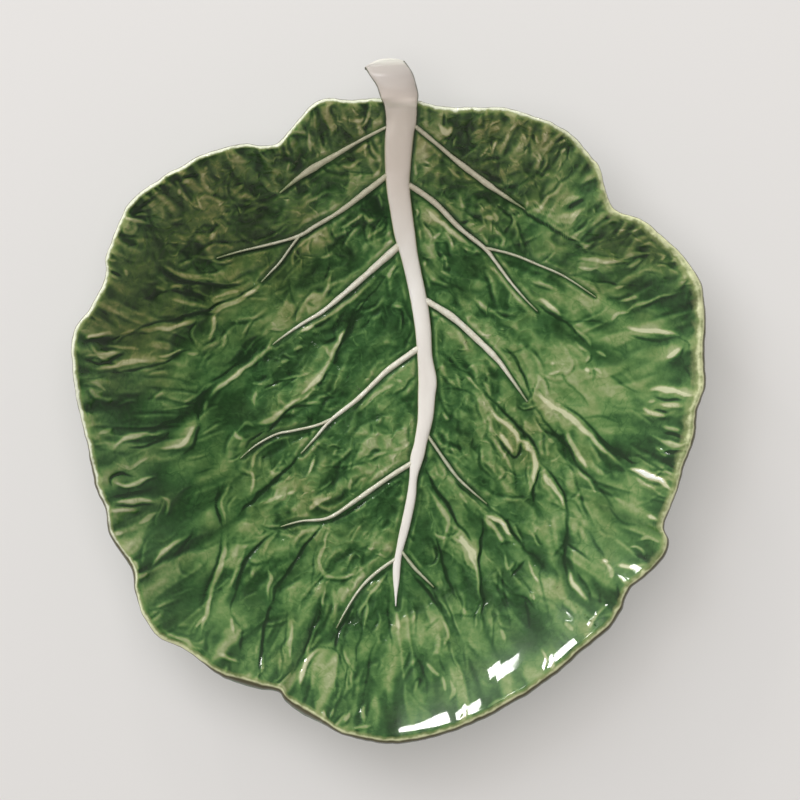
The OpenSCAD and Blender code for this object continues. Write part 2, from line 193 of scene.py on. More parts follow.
# The leaf's outline, counter-clockwise from the stem: across as a share of half the width, along as a
# share of half the length, and the height of the rim as a share of RIM_RISE
RIM_SHARES = [
    (-0.033, 0.887, 1.00), (-0.121, 0.879, 1.00), (-0.177, 0.886, 1.01), (-0.214, 0.882, 1.01),
    (-0.253, 0.860, 0.98), (-0.281, 0.830, 0.94), (-0.314, 0.793, 0.90), (-0.354, 0.754, 0.90),
    (-0.406, 0.748, 0.95), (-0.453, 0.752, 0.99), (-0.513, 0.743, 1.02), (-0.593, 0.719, 1.03),
    (-0.653, 0.689, 1.03), (-0.714, 0.656, 1.03), (-0.794, 0.604, 1.02), (-0.826, 0.574, 1.01),
    (-0.846, 0.537, 1.00), (-0.866, 0.489, 0.98), (-0.894, 0.423, 0.95), (-0.894, 0.379, 0.94),
    (-0.910, 0.327, 0.97), (-0.954, 0.260, 1.02), (-0.991, 0.215, 1.05), (-1.000, 0.163, 1.07),
    (-0.998, 0.104, 1.07), (-0.991, 0.052, 1.06), (-0.983, -0.010, 1.04), (-0.959, -0.094, 1.03),
    (-0.942, -0.167, 1.02), (-0.926, -0.249, 1.00), (-0.894, -0.316, 0.98), (-0.884, -0.391, 0.97),
    (-0.838, -0.450, 0.95), (-0.809, -0.495, 0.94), (-0.803, -0.554, 0.96), (-0.774, -0.627, 0.98),
    (-0.726, -0.688, 0.98), (-0.630, -0.732, 0.96), (-0.550, -0.792, 0.95), (-0.469, -0.828, 0.95),
    (-0.406, -0.843, 0.93), (-0.349, -0.849, 0.88), (-0.318, -0.888, 0.87), (-0.230, -0.933, 0.94),
    (-0.132, -0.977, 0.98), (-0.036, -0.996, 1.00), (0.012, -1.000, 1.00), (0.060, -0.996, 1.01),
    (0.157, -0.977, 1.02), (0.252, -0.948, 1.02), (0.349, -0.903, 1.01), (0.445, -0.851, 1.00),
    (0.525, -0.799, 1.00), (0.606, -0.732, 0.99), (0.686, -0.673, 0.97), (0.734, -0.613, 0.94),
    (0.758, -0.554, 0.93), (0.830, -0.495, 0.97), (0.870, -0.450, 0.98), (0.884, -0.406, 0.97),
    (0.870, -0.368, 0.95), (0.887, -0.316, 0.97), (0.918, -0.242, 1.00), (0.934, -0.182, 1.01),
    (0.967, -0.094, 1.03), (0.975, -0.019, 1.04), (0.999, 0.055, 1.06), (0.996, 0.144, 1.06),
    (1.000, 0.218, 1.06), (0.996, 0.295, 1.05), (0.980, 0.352, 1.03), (0.940, 0.409, 1.01),
    (0.892, 0.458, 1.00), (0.843, 0.499, 0.98), (0.795, 0.532, 0.96), (0.724, 0.556, 0.93),
    (0.697, 0.585, 0.92), (0.678, 0.642, 0.94), (0.662, 0.691, 0.96), (0.636, 0.719, 0.98),
    (0.605, 0.752, 1.00), (0.561, 0.791, 1.01), (0.525, 0.809, 1.02), (0.473, 0.828, 1.02),
    (0.406, 0.848, 1.02), (0.349, 0.858, 1.01), (0.252, 0.860, 1.00), (0.157, 0.864, 0.99),
    (0.108, 0.875, 0.99), (0.091, 0.879, 1.00)]

# The midrib from the stem's end to its thin end: left edge across and along, then right edge across and
# along, as shares of half the width and half the length
MIDRIB_SHARES = [
    (-0.077, 0.974, 0.050, 0.992), (-0.061, 0.949, 0.074, 0.958), (-0.039, 0.917, 0.086, 0.923),
    (-0.028, 0.887, 0.093, 0.892), (-0.016, 0.860, 0.090, 0.866), (-0.011, 0.820, 0.088, 0.817),
    (-0.014, 0.764, 0.078, 0.770), (-0.014, 0.703, 0.070, 0.697), (-0.009, 0.627, 0.066, 0.630),
    (0.003, 0.557, 0.074, 0.560), (0.016, 0.488, 0.084, 0.490), (0.035, 0.429, 0.092, 0.432),
    (0.054, 0.359, 0.108, 0.359), (0.070, 0.284, 0.124, 0.284), (0.082, 0.211, 0.134, 0.211),
    (0.089, 0.135, 0.138, 0.135), (0.092, 0.063, 0.152, 0.063), (0.091, 0.013, 0.147, 0.013),
    (0.090, -0.051, 0.140, -0.051), (0.079, -0.121, 0.121, -0.121), (0.067, -0.164, 0.111, -0.164),
    (0.064, -0.223, 0.091, -0.223), (0.056, -0.278, 0.086, -0.278), (0.044, -0.333, 0.075, -0.333),
    (0.031, -0.389, 0.060, -0.389), (0.020, -0.444, 0.043, -0.444), (0.012, -0.482, 0.037, -0.482),
    (0.012, -0.537, 0.033, -0.537), (0.014, -0.601, 0.028, -0.601)]

# The stem's rows of the table above: how far each lies on the leaf, share of the arch, share of the
# drop, and thickness as a share of STEM_T
STEM_SHARES = [(0, 1.0, 1.00, 0.45), (0, 1.0, 0.35, 0.85), (0, 1.0, 0.02, 1.00), (0, 0.6, 0.00, 1.00)]
MIDRIB_H_SHARES = (1.0, 0.35)

# Routes of the side veins and twigs from root to end, as shares of half the width and half the length,
# with the width as a share of VEIN_W
VEINS = {
    "vein_left_1": [
        (0.000, 0.805, 0.50), (-0.082, 0.767, 0.50), (-0.160, 0.726, 0.75), (-0.242, 0.682, 1.05),
        (-0.289, 0.652, 0.70), (-0.346, 0.610, 0.25)],
    "vein_left_2": [
        (0.006, 0.671, 0.95), (-0.073, 0.615, 0.90), (-0.154, 0.559, 0.72), (-0.233, 0.515, 0.62),
        (-0.286, 0.486, 0.55), (-0.370, 0.463, 0.42), (-0.474, 0.440, 0.32), (-0.546, 0.420, 0.20)],
    "vein_left_3": [
        (0.035, 0.461, 1.15), (-0.033, 0.405, 1.05), (-0.093, 0.356, 0.90), (-0.154, 0.308, 0.75),
        (-0.214, 0.263, 0.60), (-0.274, 0.230, 0.48), (-0.333, 0.193, 0.35), (-0.370, 0.167, 0.20)],
    "vein_left_4": [
        (0.108, 0.166, 0.90), (0.000, 0.095, 0.85), (-0.044, 0.057, 0.78), (-0.104, 0.004, 0.70),
        (-0.184, -0.054, 0.55), (-0.233, -0.105, 0.40), (-0.280, -0.153, 0.22)],
    "vein_left_5": [
        (0.080, -0.176, 0.75), (-0.007, -0.227, 0.75), (-0.104, -0.290, 0.70), (-0.192, -0.342, 0.50),
        (-0.280, -0.352, 0.35), (-0.344, -0.368, 0.20)],
    "vein_left_6": [
        (0.028, -0.458, 0.50), (-0.039, -0.502, 0.50), (-0.088, -0.546, 0.45), (-0.127, -0.598, 0.35),
        (-0.167, -0.665, 0.20)],
    "vein_right_1": [
        (0.072, 0.811, 0.65), (0.157, 0.748, 0.65), (0.214, 0.704, 0.75), (0.299, 0.645, 0.95),
        (0.358, 0.607, 0.65), (0.431, 0.563, 0.22)],
    "vein_right_2": [
        (0.050, 0.643, 0.90), (0.142, 0.585, 0.85), (0.222, 0.511, 0.75), (0.302, 0.451, 0.60),
        (0.335, 0.414, 0.52), (0.383, 0.354, 0.42), (0.431, 0.302, 0.32), (0.471, 0.265, 0.20)],
    "vein_right_3": [
        (0.104, 0.304, 1.00), (0.198, 0.250, 1.00), (0.279, 0.183, 0.95), (0.343, 0.124, 0.78),
        (0.390, 0.065, 0.52), (0.439, -0.001, 0.22)],
    "vein_right_4": [
        (0.119, -0.095, 0.45), (0.167, -0.160, 0.50), (0.214, -0.220, 0.45), (0.262, -0.263, 0.35),
        (0.311, -0.301, 0.20)],
    "vein_right_5": [
        (0.035, -0.435, 0.50), (0.079, -0.488, 0.50), (0.110, -0.517, 0.40), (0.142, -0.546, 0.20)],
    "twig_left_2": [
        (-0.280, 0.491, 0.45), (-0.314, 0.450, 0.42), (-0.346, 0.409, 0.36), (-0.377, 0.379, 0.30),
        (-0.406, 0.351, 0.20)],
    "twig_left_4": [
        (-0.176, -0.049, 0.50), (-0.233, -0.071, 0.45), (-0.305, -0.086, 0.40), (-0.360, -0.097, 0.36),
        (-0.425, -0.130, 0.28), (-0.472, -0.167, 0.18)],
    "twig_right_2": [
        (0.296, 0.453, 0.42), (0.390, 0.432, 0.40), (0.478, 0.399, 0.36), (0.559, 0.365, 0.30),
        (0.655, 0.306, 0.18)]}
THREAD_H_SHARE = 0.5

# How much of a vein's height and, to either side, of its width stands out of the glaze
VEIN_SHOWN_H = 0.75
VEIN_HALF_W = 0.52


# How pale each vein's glaze is: 1 is cream white, 0 is the leaf's light green
VEIN_PALENESS = {
    "vein_left_1": 0.65, "vein_left_2": 0.75, "vein_left_3": 1.0, "vein_left_4": 0.95, "vein_left_5": 0.8,
    "vein_left_6": 0.7, "vein_right_1": 0.8, "vein_right_2": 0.9, "vein_right_3": 1.0, "vein_right_4": 0.55,
    "vein_right_5": 0.45, "twig_left_2": 0.65, "twig_left_4": 0.7, "twig_right_2": 0.65}

# Strokes of the leaf's relief, each through pixels of the photograph: across, down, across, down and so on.
# Crests where the glaze is thin and pale: bold ones, then small painted glints, white streaks that stand for
# reflections on crests, and soft ones
BOLD_CRESTS = [
    [247, 684, 256, 681, 263, 689], [297, 703, 308, 710, 319, 717], [131, 560, 138, 572],
    [162, 265, 172, 271, 188, 275, 200, 277, 217, 278], [168, 288, 177, 285, 182, 288],
    [168, 298, 181, 301, 194, 304, 206, 306], [134, 331, 149, 329, 166, 328, 188, 322, 207, 315],
    [213, 312, 232, 301, 260, 288], [213, 312, 212, 325, 207, 340], [85, 339, 96, 335, 114, 334],
    [85, 358, 96, 355, 108, 355, 119, 352], [92, 368, 111, 367, 130, 362, 149, 362],
    [122, 216, 136, 221, 149, 223], [202, 174, 204, 183, 210, 192, 214, 190],
    [376, 277, 359, 292, 340, 306, 321, 317, 308, 326, 289, 338],
    [278, 341, 266, 350, 248, 364, 232, 377, 216, 388, 207, 400],
    [345, 324, 338, 340, 331, 359, 320, 375, 305, 390, 294, 400], [396, 263, 387, 278],
    [487, 262, 501, 274, 512, 287, 521, 297, 528, 303, 536, 311, 537, 320],
    [490, 351, 506, 366, 519, 383, 529, 401], [487, 404, 497, 417, 510, 427, 519, 436, 518, 450],
    [521, 441, 529, 444, 535, 458, 537, 467, 533, 485, 529, 498], [544, 474, 549, 481, 559, 493, 567, 508],
    [497, 428, 506, 441, 515, 453], [428, 489, 438, 502, 445, 514, 449, 522, 447, 535, 442, 551],
    [454, 530, 462, 541, 472, 554, 477, 564, 479, 579, 481, 599],
    [532, 392, 548, 402, 566, 413, 579, 424, 592, 437, 605, 450, 617, 461, 629, 474],
    [569, 432, 576, 450, 590, 469], [560, 205, 570, 199, 582, 196],
    [549, 215, 559, 221, 570, 219, 579, 212, 587, 205], [626, 326, 647, 331, 665, 331, 680, 335],
    [667, 358, 675, 354, 681, 347], [629, 267, 636, 262, 642, 257],
    [649, 391, 661, 388, 682, 394, 695, 396], [660, 404, 682, 407], [643, 408, 654, 414, 667, 418],
    [663, 426, 681, 432], [650, 435, 666, 442, 678, 445, 689, 442], [656, 446, 668, 456],
    [109, 451, 121, 441, 137, 435, 149, 434, 165, 432], [157, 449, 178, 446, 188, 436, 193, 426],
    [114, 482, 124, 486, 139, 482, 152, 476], [114, 502, 152, 501], [109, 511, 139, 511],
    [149, 569, 160, 556, 175, 543, 190, 533], [224, 533, 223, 558, 213, 584, 206, 610, 200, 635],
    [254, 423, 269, 421, 285, 408, 305, 395, 318, 380], [628, 470, 643, 473, 659, 481, 674, 492],
    [569, 571, 576, 587, 590, 602], [319, 652, 309, 657, 303, 671, 299, 687],
    [539, 297, 549, 304, 564, 316], [421, 205, 442, 222, 460, 236, 472, 246],
    [438, 121, 448, 133, 450, 124], [133, 578, 142, 575, 149, 570], [232, 430, 236, 438, 245, 441],
    [486, 517, 500, 522, 514, 538], [484, 518, 496, 531, 506, 545]]
PAINTED_GLINTS = [
    [619, 566, 631, 567, 645, 563], [604, 560, 610, 562], [648, 516, 658, 520],
    [632, 469, 644, 472, 660, 480, 673, 490]]
SOFT_CRESTS = [
    [362, 722, 365, 704], [330, 719, 334, 708], [345, 723, 350, 712], [105, 345, 124, 347, 139, 348],
    [157, 356, 168, 354, 182, 349], [185, 354, 198, 352], [82, 385, 98, 384, 105, 391],
    [108, 275, 120, 279], [125, 268, 126, 276], [154, 275, 162, 279, 166, 284], [154, 287, 165, 289],
    [168, 221, 184, 217], [134, 216, 149, 214], [195, 226, 188, 238], [224, 334, 221, 347],
    [212, 384, 200, 390, 191, 400], [218, 186, 223, 197], [228, 188, 237, 192], [179, 188, 181, 194],
    [227, 152, 231, 160, 248, 161], [265, 156, 269, 161, 275, 156], [308, 132, 310, 152],
    [288, 161, 287, 171], [242, 214, 251, 209, 266, 203], [305, 202, 315, 197, 326, 190],
    [350, 166, 359, 158], [353, 152, 370, 142], [375, 161, 381, 158], [334, 228, 353, 219, 364, 212],
    [310, 371, 292, 377, 276, 380], [384, 254, 366, 269, 353, 276], [330, 270, 328, 287],
    [310, 236, 292, 251, 293, 266], [386, 222, 379, 229, 366, 237], [328, 208, 312, 217],
    [251, 384, 261, 384], [300, 330, 313, 325], [292, 350, 304, 345], [279, 363, 289, 359],
    [392, 305, 403, 306], [440, 269, 455, 277], [478, 299, 490, 309, 506, 319], [484, 379, 493, 397],
    [456, 371, 462, 390], [395, 383, 378, 393, 359, 412], [442, 411, 450, 421],
    [401, 462, 389, 467, 379, 472], [313, 459, 308, 474], [406, 474, 389, 486, 371, 499, 361, 509],
    [331, 530, 325, 542, 320, 558, 320, 578], [364, 578, 354, 596, 343, 620],
    [387, 573, 369, 599, 361, 609, 359, 620], [324, 586, 322, 611], [419, 572, 429, 584, 438, 595],
    [438, 599, 448, 611, 452, 620], [444, 452, 458, 460, 472, 468], [459, 494, 468, 505],
    [263, 655, 261, 669, 256, 677], [317, 625, 309, 645, 305, 655], [365, 708, 363, 724],
    [354, 730, 371, 726], [366, 602, 366, 617, 363, 632], [397, 613, 399, 632], [230, 619, 233, 633],
    [440, 620, 449, 634, 443, 648], [442, 677, 446, 692], [502, 629, 505, 642],
    [446, 165, 455, 172, 460, 178], [462, 176, 477, 179, 486, 184], [460, 194, 464, 205, 469, 207],
    [500, 165, 505, 179, 508, 185], [539, 152, 542, 161], [509, 156, 520, 162], [484, 215, 496, 217],
    [494, 125, 500, 129], [555, 144, 567, 139], [559, 153, 566, 149], [502, 170, 507, 184],
    [528, 183, 536, 181], [618, 258, 640, 254, 651, 253], [577, 241, 590, 246], [593, 206, 595, 213],
    [670, 262, 681, 257], [684, 285, 696, 282], [574, 324, 587, 338, 593, 347],
    [577, 341, 590, 355, 586, 361], [588, 367, 591, 373], [550, 375, 562, 372],
    [612, 321, 618, 314, 630, 311], [579, 470, 590, 483, 599, 495], [549, 438, 555, 444],
    [498, 443, 506, 457, 512, 470], [492, 521, 503, 525, 514, 538], [506, 555, 510, 570, 515, 564],
    [529, 562, 535, 574, 540, 584], [630, 548, 639, 548, 647, 557], [180, 403, 195, 395, 211, 385],
    [98, 434, 111, 428], [137, 523, 157, 513], [111, 533, 124, 533], [216, 653, 239, 663],
    [193, 630, 203, 617], [228, 485, 221, 502, 224, 525], [251, 469, 254, 454, 274, 441],
    [234, 433, 244, 423, 254, 426], [259, 507, 272, 500, 282, 497],
    [328, 533, 320, 548, 320, 571, 331, 579, 351, 576, 369, 564], [520, 440, 531, 452],
    [283, 189, 266, 194, 248, 199], [520, 206, 545, 219, 566, 234, 579, 240, 600, 265],
    [218, 256, 205, 257, 188, 256], [264, 278, 255, 288, 243, 296], [484, 500, 497, 512, 508, 524],
    [283, 457, 274, 470, 267, 481], [316, 492, 326, 485, 331, 481], [285, 496, 295, 491],
    [308, 511, 318, 503, 334, 497], [333, 458, 336, 448], [347, 470, 352, 462], [350, 478, 349, 492],
    [366, 462, 378, 456, 388, 452], [393, 452, 403, 447, 412, 441],
    [277, 533, 268, 542, 264, 551, 262, 560], [266, 572, 270, 580, 266, 600], [256, 536, 262, 531],
    [291, 625, 290, 645, 289, 660], [262, 683, 270, 688, 280, 686, 288, 692], [323, 710, 325, 722],
    [418, 443, 423, 452], [160, 184, 167, 180], [204, 166, 206, 171], [181, 183, 189, 181],
    [210, 180, 215, 182], [236, 190, 243, 186], [140, 211, 150, 205, 157, 202],
    [122, 224, 124, 231, 131, 233, 136, 228, 134, 223], [106, 259, 117, 262],
    [346, 117, 352, 121, 361, 120, 364, 115], [369, 104, 370, 113, 366, 122, 361, 127],
    [259, 152, 268, 148, 276, 150], [381, 160, 378, 172, 371, 179], [363, 212, 369, 219, 376, 217],
    [379, 192, 381, 206], [393, 238, 384, 248, 372, 259], [320, 257, 332, 254], [312, 217, 295, 229],
    [470, 137, 478, 131, 486, 134], [503, 112, 512, 118, 509, 124], [516, 124, 508, 132, 510, 140],
    [521, 131, 526, 139, 520, 146], [531, 135, 524, 146], [546, 137, 545, 143], [556, 137, 565, 131],
    [523, 193, 528, 200, 526, 208], [534, 198, 540, 205, 547, 212], [494, 211, 498, 216, 495, 220],
    [498, 231, 504, 238, 500, 246], [415, 160, 416, 175], [440, 258, 446, 256], [424, 266, 426, 260],
    [433, 237, 442, 232], [450, 240, 456, 246], [606, 224, 614, 220, 622, 224], [628, 233, 638, 229],
    [640, 246, 650, 243, 660, 249], [657, 252, 664, 256, 661, 262], [672, 256, 680, 264],
    [572, 262, 590, 258, 610, 262, 622, 258], [577, 267, 590, 268, 600, 266], [616, 287, 626, 285],
    [622, 300, 640, 297], [625, 312, 640, 304, 660, 297, 680, 292], [240, 289, 225, 293, 212, 297],
    [160, 409, 175, 408, 188, 405], [207, 400, 203, 412], [392, 362, 380, 372, 368, 384],
    [305, 403, 313, 402, 321, 403], [255, 391, 252, 400, 254, 407], [345, 327, 338, 345],
    [480, 329, 485, 335, 490, 339], [463, 375, 480, 388, 490, 405], [431, 437, 437, 447, 441, 457],
    [552, 361, 556, 364], [597, 351, 608, 356], [594, 367, 600, 370, 604, 375], [648, 402, 656, 401],
    [690, 425, 693, 440, 691, 455], [660, 466, 672, 475, 684, 477], [633, 477, 650, 488, 668, 498],
    [113, 463, 127, 468, 140, 462, 150, 455], [160, 497, 168, 503, 165, 515],
    [250, 470, 252, 482, 250, 495], [246, 545, 240, 560, 233, 575, 229, 590],
    [160, 628, 172, 636, 185, 640, 196, 648, 206, 652], [540, 650, 548, 658, 545, 668],
    [553, 655, 553, 672], [425, 665, 434, 672, 440, 677], [451, 680, 454, 692, 449, 702],
    [466, 706, 465, 715, 458, 724], [487, 708, 497, 702, 510, 698],
    [587, 628, 592, 622, 600, 613, 607, 608], [606, 560, 611, 570, 612, 580],
    [618, 575, 625, 582, 633, 584], [640, 540, 648, 538, 660, 543], [530, 595, 536, 600],
    [565, 622, 575, 631]]

# Grooves where the glaze lies deep and dark: the bold ones, then the fine ones
BOLD_GROOVES = [
    [126, 560, 132, 567, 136, 576], [159, 269, 175, 279, 200, 283, 239, 284],
    [171, 291, 188, 294, 204, 300], [131, 332, 149, 324, 175, 318, 200, 312, 213, 306, 239, 294, 260, 282],
    [83, 342, 92, 339, 111, 339, 121, 335], [85, 361, 98, 363, 114, 359, 121, 353],
    [98, 373, 124, 371, 143, 368, 162, 362, 188, 349], [128, 216, 142, 206, 154, 197],
    [128, 216, 143, 220], [181, 178, 199, 174], [207, 385, 226, 370, 245, 357, 262, 346],
    [394, 257, 366, 279, 328, 311, 302, 325, 279, 339],
    [385, 275, 363, 303, 353, 316, 344, 336, 335, 355, 322, 378, 308, 393],
    [480, 384, 493, 399, 510, 416, 524, 431, 534, 444, 543, 463],
    [543, 463, 555, 478, 566, 497, 569, 516, 567, 538, 566, 553, 567, 576, 574, 594],
    [495, 433, 506, 448, 516, 457, 522, 452, 523, 441], [542, 468, 536, 483, 534, 495, 535, 508],
    [484, 516, 483, 538, 480, 559, 481, 581, 484, 600, 482, 620],
    [426, 470, 435, 488, 447, 504, 459, 526, 472, 542],
    [558, 401, 582, 417, 598, 434, 616, 450, 630, 461, 641, 463],
    [532, 401, 545, 420, 558, 435, 570, 447, 576, 461, 590, 477, 602, 490],
    [534, 300, 549, 311, 566, 322, 579, 332, 591, 347], [569, 208, 577, 203, 584, 199],
    [626, 267, 640, 257, 650, 254], [632, 336, 654, 340, 678, 337], [670, 363, 681, 357, 683, 348],
    [652, 396, 668, 400, 681, 401], [665, 432, 687, 438], [655, 410, 668, 413],
    [655, 450, 670, 452, 686, 450], [472, 216, 483, 214], [449, 213, 461, 221, 472, 219],
    [444, 113, 444, 126], [198, 424, 193, 444, 180, 456], [111, 487, 111, 479, 119, 474, 134, 477],
    [110, 497, 134, 493, 152, 489], [134, 564, 137, 571, 147, 571, 152, 563],
    [165, 563, 182, 546, 193, 530], [219, 530, 219, 557, 208, 583, 200, 608],
    [216, 487, 216, 513, 221, 530], [267, 433, 277, 419, 295, 403, 315, 385],
    [461, 476, 475, 493, 491, 508, 501, 516, 515, 535, 526, 550, 540, 562, 547, 573],
    [526, 562, 518, 571, 513, 578], [635, 555, 647, 559],
    [272, 604, 264, 625, 262, 650, 259, 668, 259, 681], [320, 600, 314, 622, 308, 641, 302, 654, 291, 677],
    [405, 568, 421, 586, 434, 601, 439, 611], [616, 585, 620, 597, 616, 608],
    [300, 158, 296, 166, 290, 172], [256, 197, 266, 194, 277, 191],
    [305, 449, 291, 464, 276, 479, 262, 492, 248, 505, 236, 517],
    [321, 527, 309, 542, 298, 557, 287, 572, 277, 589, 270, 605],
    [272, 534, 260, 543, 249, 557, 241, 570, 236, 585, 232, 600, 229, 613],
    [355, 600, 348, 617, 339, 633, 335, 650], [437, 541, 441, 556, 445, 570, 449, 585, 455, 597],
    [474, 168, 486, 173, 497, 176], [507, 197, 540, 220, 566, 236, 580, 241], [107, 270, 121, 276],
    [404, 476, 385, 489, 365, 502, 345, 515, 330, 525],
    [431, 441, 440, 456, 452, 474, 462, 488, 478, 503, 490, 512], [207, 385, 199, 396, 195, 408, 197, 424],
    [140, 428, 155, 427, 172, 421, 186, 415], [130, 448, 145, 446, 160, 440, 170, 433],
    [262, 432, 250, 441, 243, 450], [505, 345, 515, 356, 523, 370, 529, 385, 532, 400],
    [101, 498, 105, 505, 103, 510], [115, 506, 135, 507, 150, 504], [665, 461, 676, 468, 684, 470],
    [576, 572, 584, 583, 590, 592, 592, 602], [668, 362, 676, 363, 682, 356]]
FINE_GROOVES = [
    [85, 380, 105, 377], [107, 270, 121, 276], [98, 306, 107, 316], [200, 220, 225, 217, 240, 213],
    [184, 223, 168, 224], [288, 147, 292, 155], [343, 154, 352, 160],
    [353, 320, 334, 322, 333, 338, 320, 345, 310, 353], [292, 381, 279, 389],
    [330, 259, 324, 276, 322, 282], [289, 283, 291, 297, 297, 310], [306, 301, 315, 306],
    [392, 308, 403, 310, 403, 322, 406, 324], [429, 265, 442, 278, 455, 285, 468, 290],
    [434, 350, 446, 355, 461, 369, 475, 378], [498, 152, 499, 172], [556, 142, 566, 133],
    [534, 212, 550, 224, 566, 235, 579, 241], [576, 244, 590, 252, 601, 255], [604, 220, 611, 215],
    [566, 274, 587, 277, 594, 288], [566, 273, 590, 279, 607, 282, 640, 286],
    [567, 322, 579, 321, 598, 321, 611, 324], [580, 348, 593, 357, 588, 363],
    [564, 372, 567, 380, 584, 397, 590, 406], [583, 419, 598, 416, 619, 422],
    [680, 337, 688, 344, 688, 352], [550, 504, 559, 507, 568, 513], [514, 461, 517, 485, 518, 495],
    [567, 458, 579, 486, 587, 513, 589, 522], [602, 490, 609, 500, 616, 510], [500, 545, 514, 544],
    [543, 565, 541, 584, 546, 599, 550, 620], [590, 533, 598, 547, 608, 562],
    [397, 451, 382, 457, 357, 465, 338, 468, 325, 467], [320, 526, 308, 542, 300, 555],
    [327, 526, 322, 542, 315, 560], [320, 580, 332, 581, 345, 578], [450, 528, 445, 545],
    [389, 586, 389, 620, 392, 654], [458, 439, 461, 453, 473, 462], [271, 600, 266, 619, 263, 642],
    [240, 625, 242, 638, 239, 654], [229, 615, 241, 630], [286, 613, 285, 638, 284, 657],
    [302, 656, 309, 651, 322, 649, 335, 652, 341, 666, 346, 682], [358, 619, 362, 632, 356, 651, 354, 669],
    [355, 600, 348, 617, 339, 633, 335, 650], [379, 634, 370, 655, 368, 671, 364, 694, 363, 705],
    [406, 600, 415, 615, 416, 638], [492, 613, 494, 632, 493, 648], [438, 619, 427, 632],
    [454, 617, 480, 617], [414, 655, 425, 676, 427, 696], [440, 659, 447, 676], [216, 469, 193, 474],
    [325, 579, 320, 610, 313, 635], [223, 480, 216, 500, 218, 525],
    [300, 454, 280, 474, 259, 492, 241, 510], [259, 543, 244, 564, 234, 589],
    [320, 525, 305, 548, 285, 574], [569, 540, 560, 552, 553, 560], [505, 573, 503, 590, 510, 610],
    [520, 575, 530, 592, 535, 605], [302, 122, 306, 131, 305, 140], [276, 172, 278, 184],
    [333, 158, 340, 166], [152, 214, 158, 217, 165, 222], [218, 242, 235, 240, 250, 239],
    [125, 247, 138, 243], [440, 188, 448, 196, 458, 196], [452, 203, 462, 208, 470, 205],
    [679, 280, 690, 278, 694, 275], [575, 246, 592, 252, 610, 256, 628, 256], [685, 367, 693, 380],
    [697, 347, 704, 347], [316, 545, 313, 560, 312, 575, 310, 590],
    [140, 300, 150, 297, 160, 292, 168, 290], [92, 395, 86, 410, 90, 420], [372, 313, 360, 330],
    [498, 326, 503, 331, 508, 327], [498, 347, 510, 352, 520, 350, 530, 345],
    [440, 390, 455, 388, 470, 392, 480, 405], [593, 363, 596, 372, 595, 380],
    [610, 375, 625, 385, 640, 392], [690, 350, 695, 370, 693, 390], [640, 483, 655, 492, 672, 502],
    [430, 588, 438, 600, 442, 612], [446, 590, 456, 598, 460, 610],
    [500, 578, 498, 590, 505, 605, 512, 630], [515, 595, 530, 602, 536, 610],
    [527, 600, 528, 618, 532, 630], [413, 683, 420, 680, 418, 690], [570, 545, 580, 553, 590, 560],
    [567, 500, 578, 504, 585, 520], [610, 505, 620, 520, 640, 527], [600, 592, 602, 605],
    [516, 299, 520, 306, 527, 312]]

# Soft patches of the leaf at pixels of the photograph: across, down, radius, amount.
# Paler or darker glaze, in part painted light and shade, browner glaze, places that the blisters leave
# smooth, and crumpled places
TONE_AND_LIGHT_PATCHES = [
    (600, 340, 75, 0.09), (655, 380, 60, 0.09), (600, 560, 75, 0.12), (450, 650, 90, 0.03),
    (330, 640, 70, 0.11), (590, 160, 30, 0.14), (170, 240, 85, -0.12), (330, 120, 60, -0.03),
    (520, 190, 60, -0.08), (388, 320, 36, -0.12), (200, 420, 60, -0.06), (260, 230, 60, -0.08),
    (650, 265, 45, -0.06), (250, 170, 60, -0.04), (120, 500, 50, -0.05), (470, 150, 50, -0.05),
    (500, 400, 90, 0.08), (330, 450, 60, 0.04), (620, 470, 60, -0.05), (560, 610, 60, -0.05),
    (397, 330, 16, -0.12), (130, 300, 50, -0.08), (400, 250, 30, 0.05), (470, 630, 60, -0.11),
    (210, 600, 60, -0.06), (330, 155, 45, 0.12), (580, 520, 60, 0.05), (535, 618, 25, 0.10),
    (150, 520, 45, 0.06), (120, 480, 40, 0.05)]
BROWN_PATCHES = [
    (480, 150, 80, 0.85), (560, 130, 45, 0.5), (640, 240, 50, 0.8), (200, 170, 80, 0.9),
    (120, 330, 60, 0.7), (250, 450, 60, 0.3), (310, 520, 40, 0.3), (170, 270, 80, 0.7),
    (350, 120, 60, 0.8), (300, 290, 60, 0.35), (520, 440, 40, 0.4), (280, 230, 60, 0.45)]
SMOOTH_PATCHES = [
    (180, 520, 75, 0.8), (190, 400, 45, 0.6), (640, 375, 70, 0.8), (600, 330, 35, 0.4),
    (425, 722, 45, 1.3), (470, 703, 30, 1.2), (512, 666, 42, 1.3), (568, 641, 32, 1.3),
    (575, 622, 30, 1.2), (632, 566, 30, 1.2), (620, 535, 45, 0.8), (600, 420, 35, 0.5),
    (200, 620, 45, 0.5), (120, 290, 40, 0.5), (640, 285, 45, 0.5), (655, 515, 25, 0.6)]
CRUMPLED_PATCHES = [
    (470, 150, 75, 0.8), (560, 130, 40, 0.6), (250, 180, 75, 0.8), (345, 125, 45, 0.6),
    (450, 215, 45, 0.8), (380, 440, 55, 0.7), (350, 555, 45, 0.6), (480, 320, 50, 0.5),
    (500, 440, 60, 0.5), (640, 250, 55, 0.6), (300, 370, 50, 0.5), (280, 500, 45, 0.6),
    (150, 260, 45, 0.4), (350, 250, 60, 0.4)]

# How far the painted shade beside the veins is drawn down and to the right
VEIN_SHADE_SHIFT = 1.0

# The way towards the smoother part of the wall, and how much the wall's crimps and its relief fade there
CALM_WAY = (0.5, -0.87)
CALM_FADE = 0.85
CALM_RELIEF_FADE = 0.95

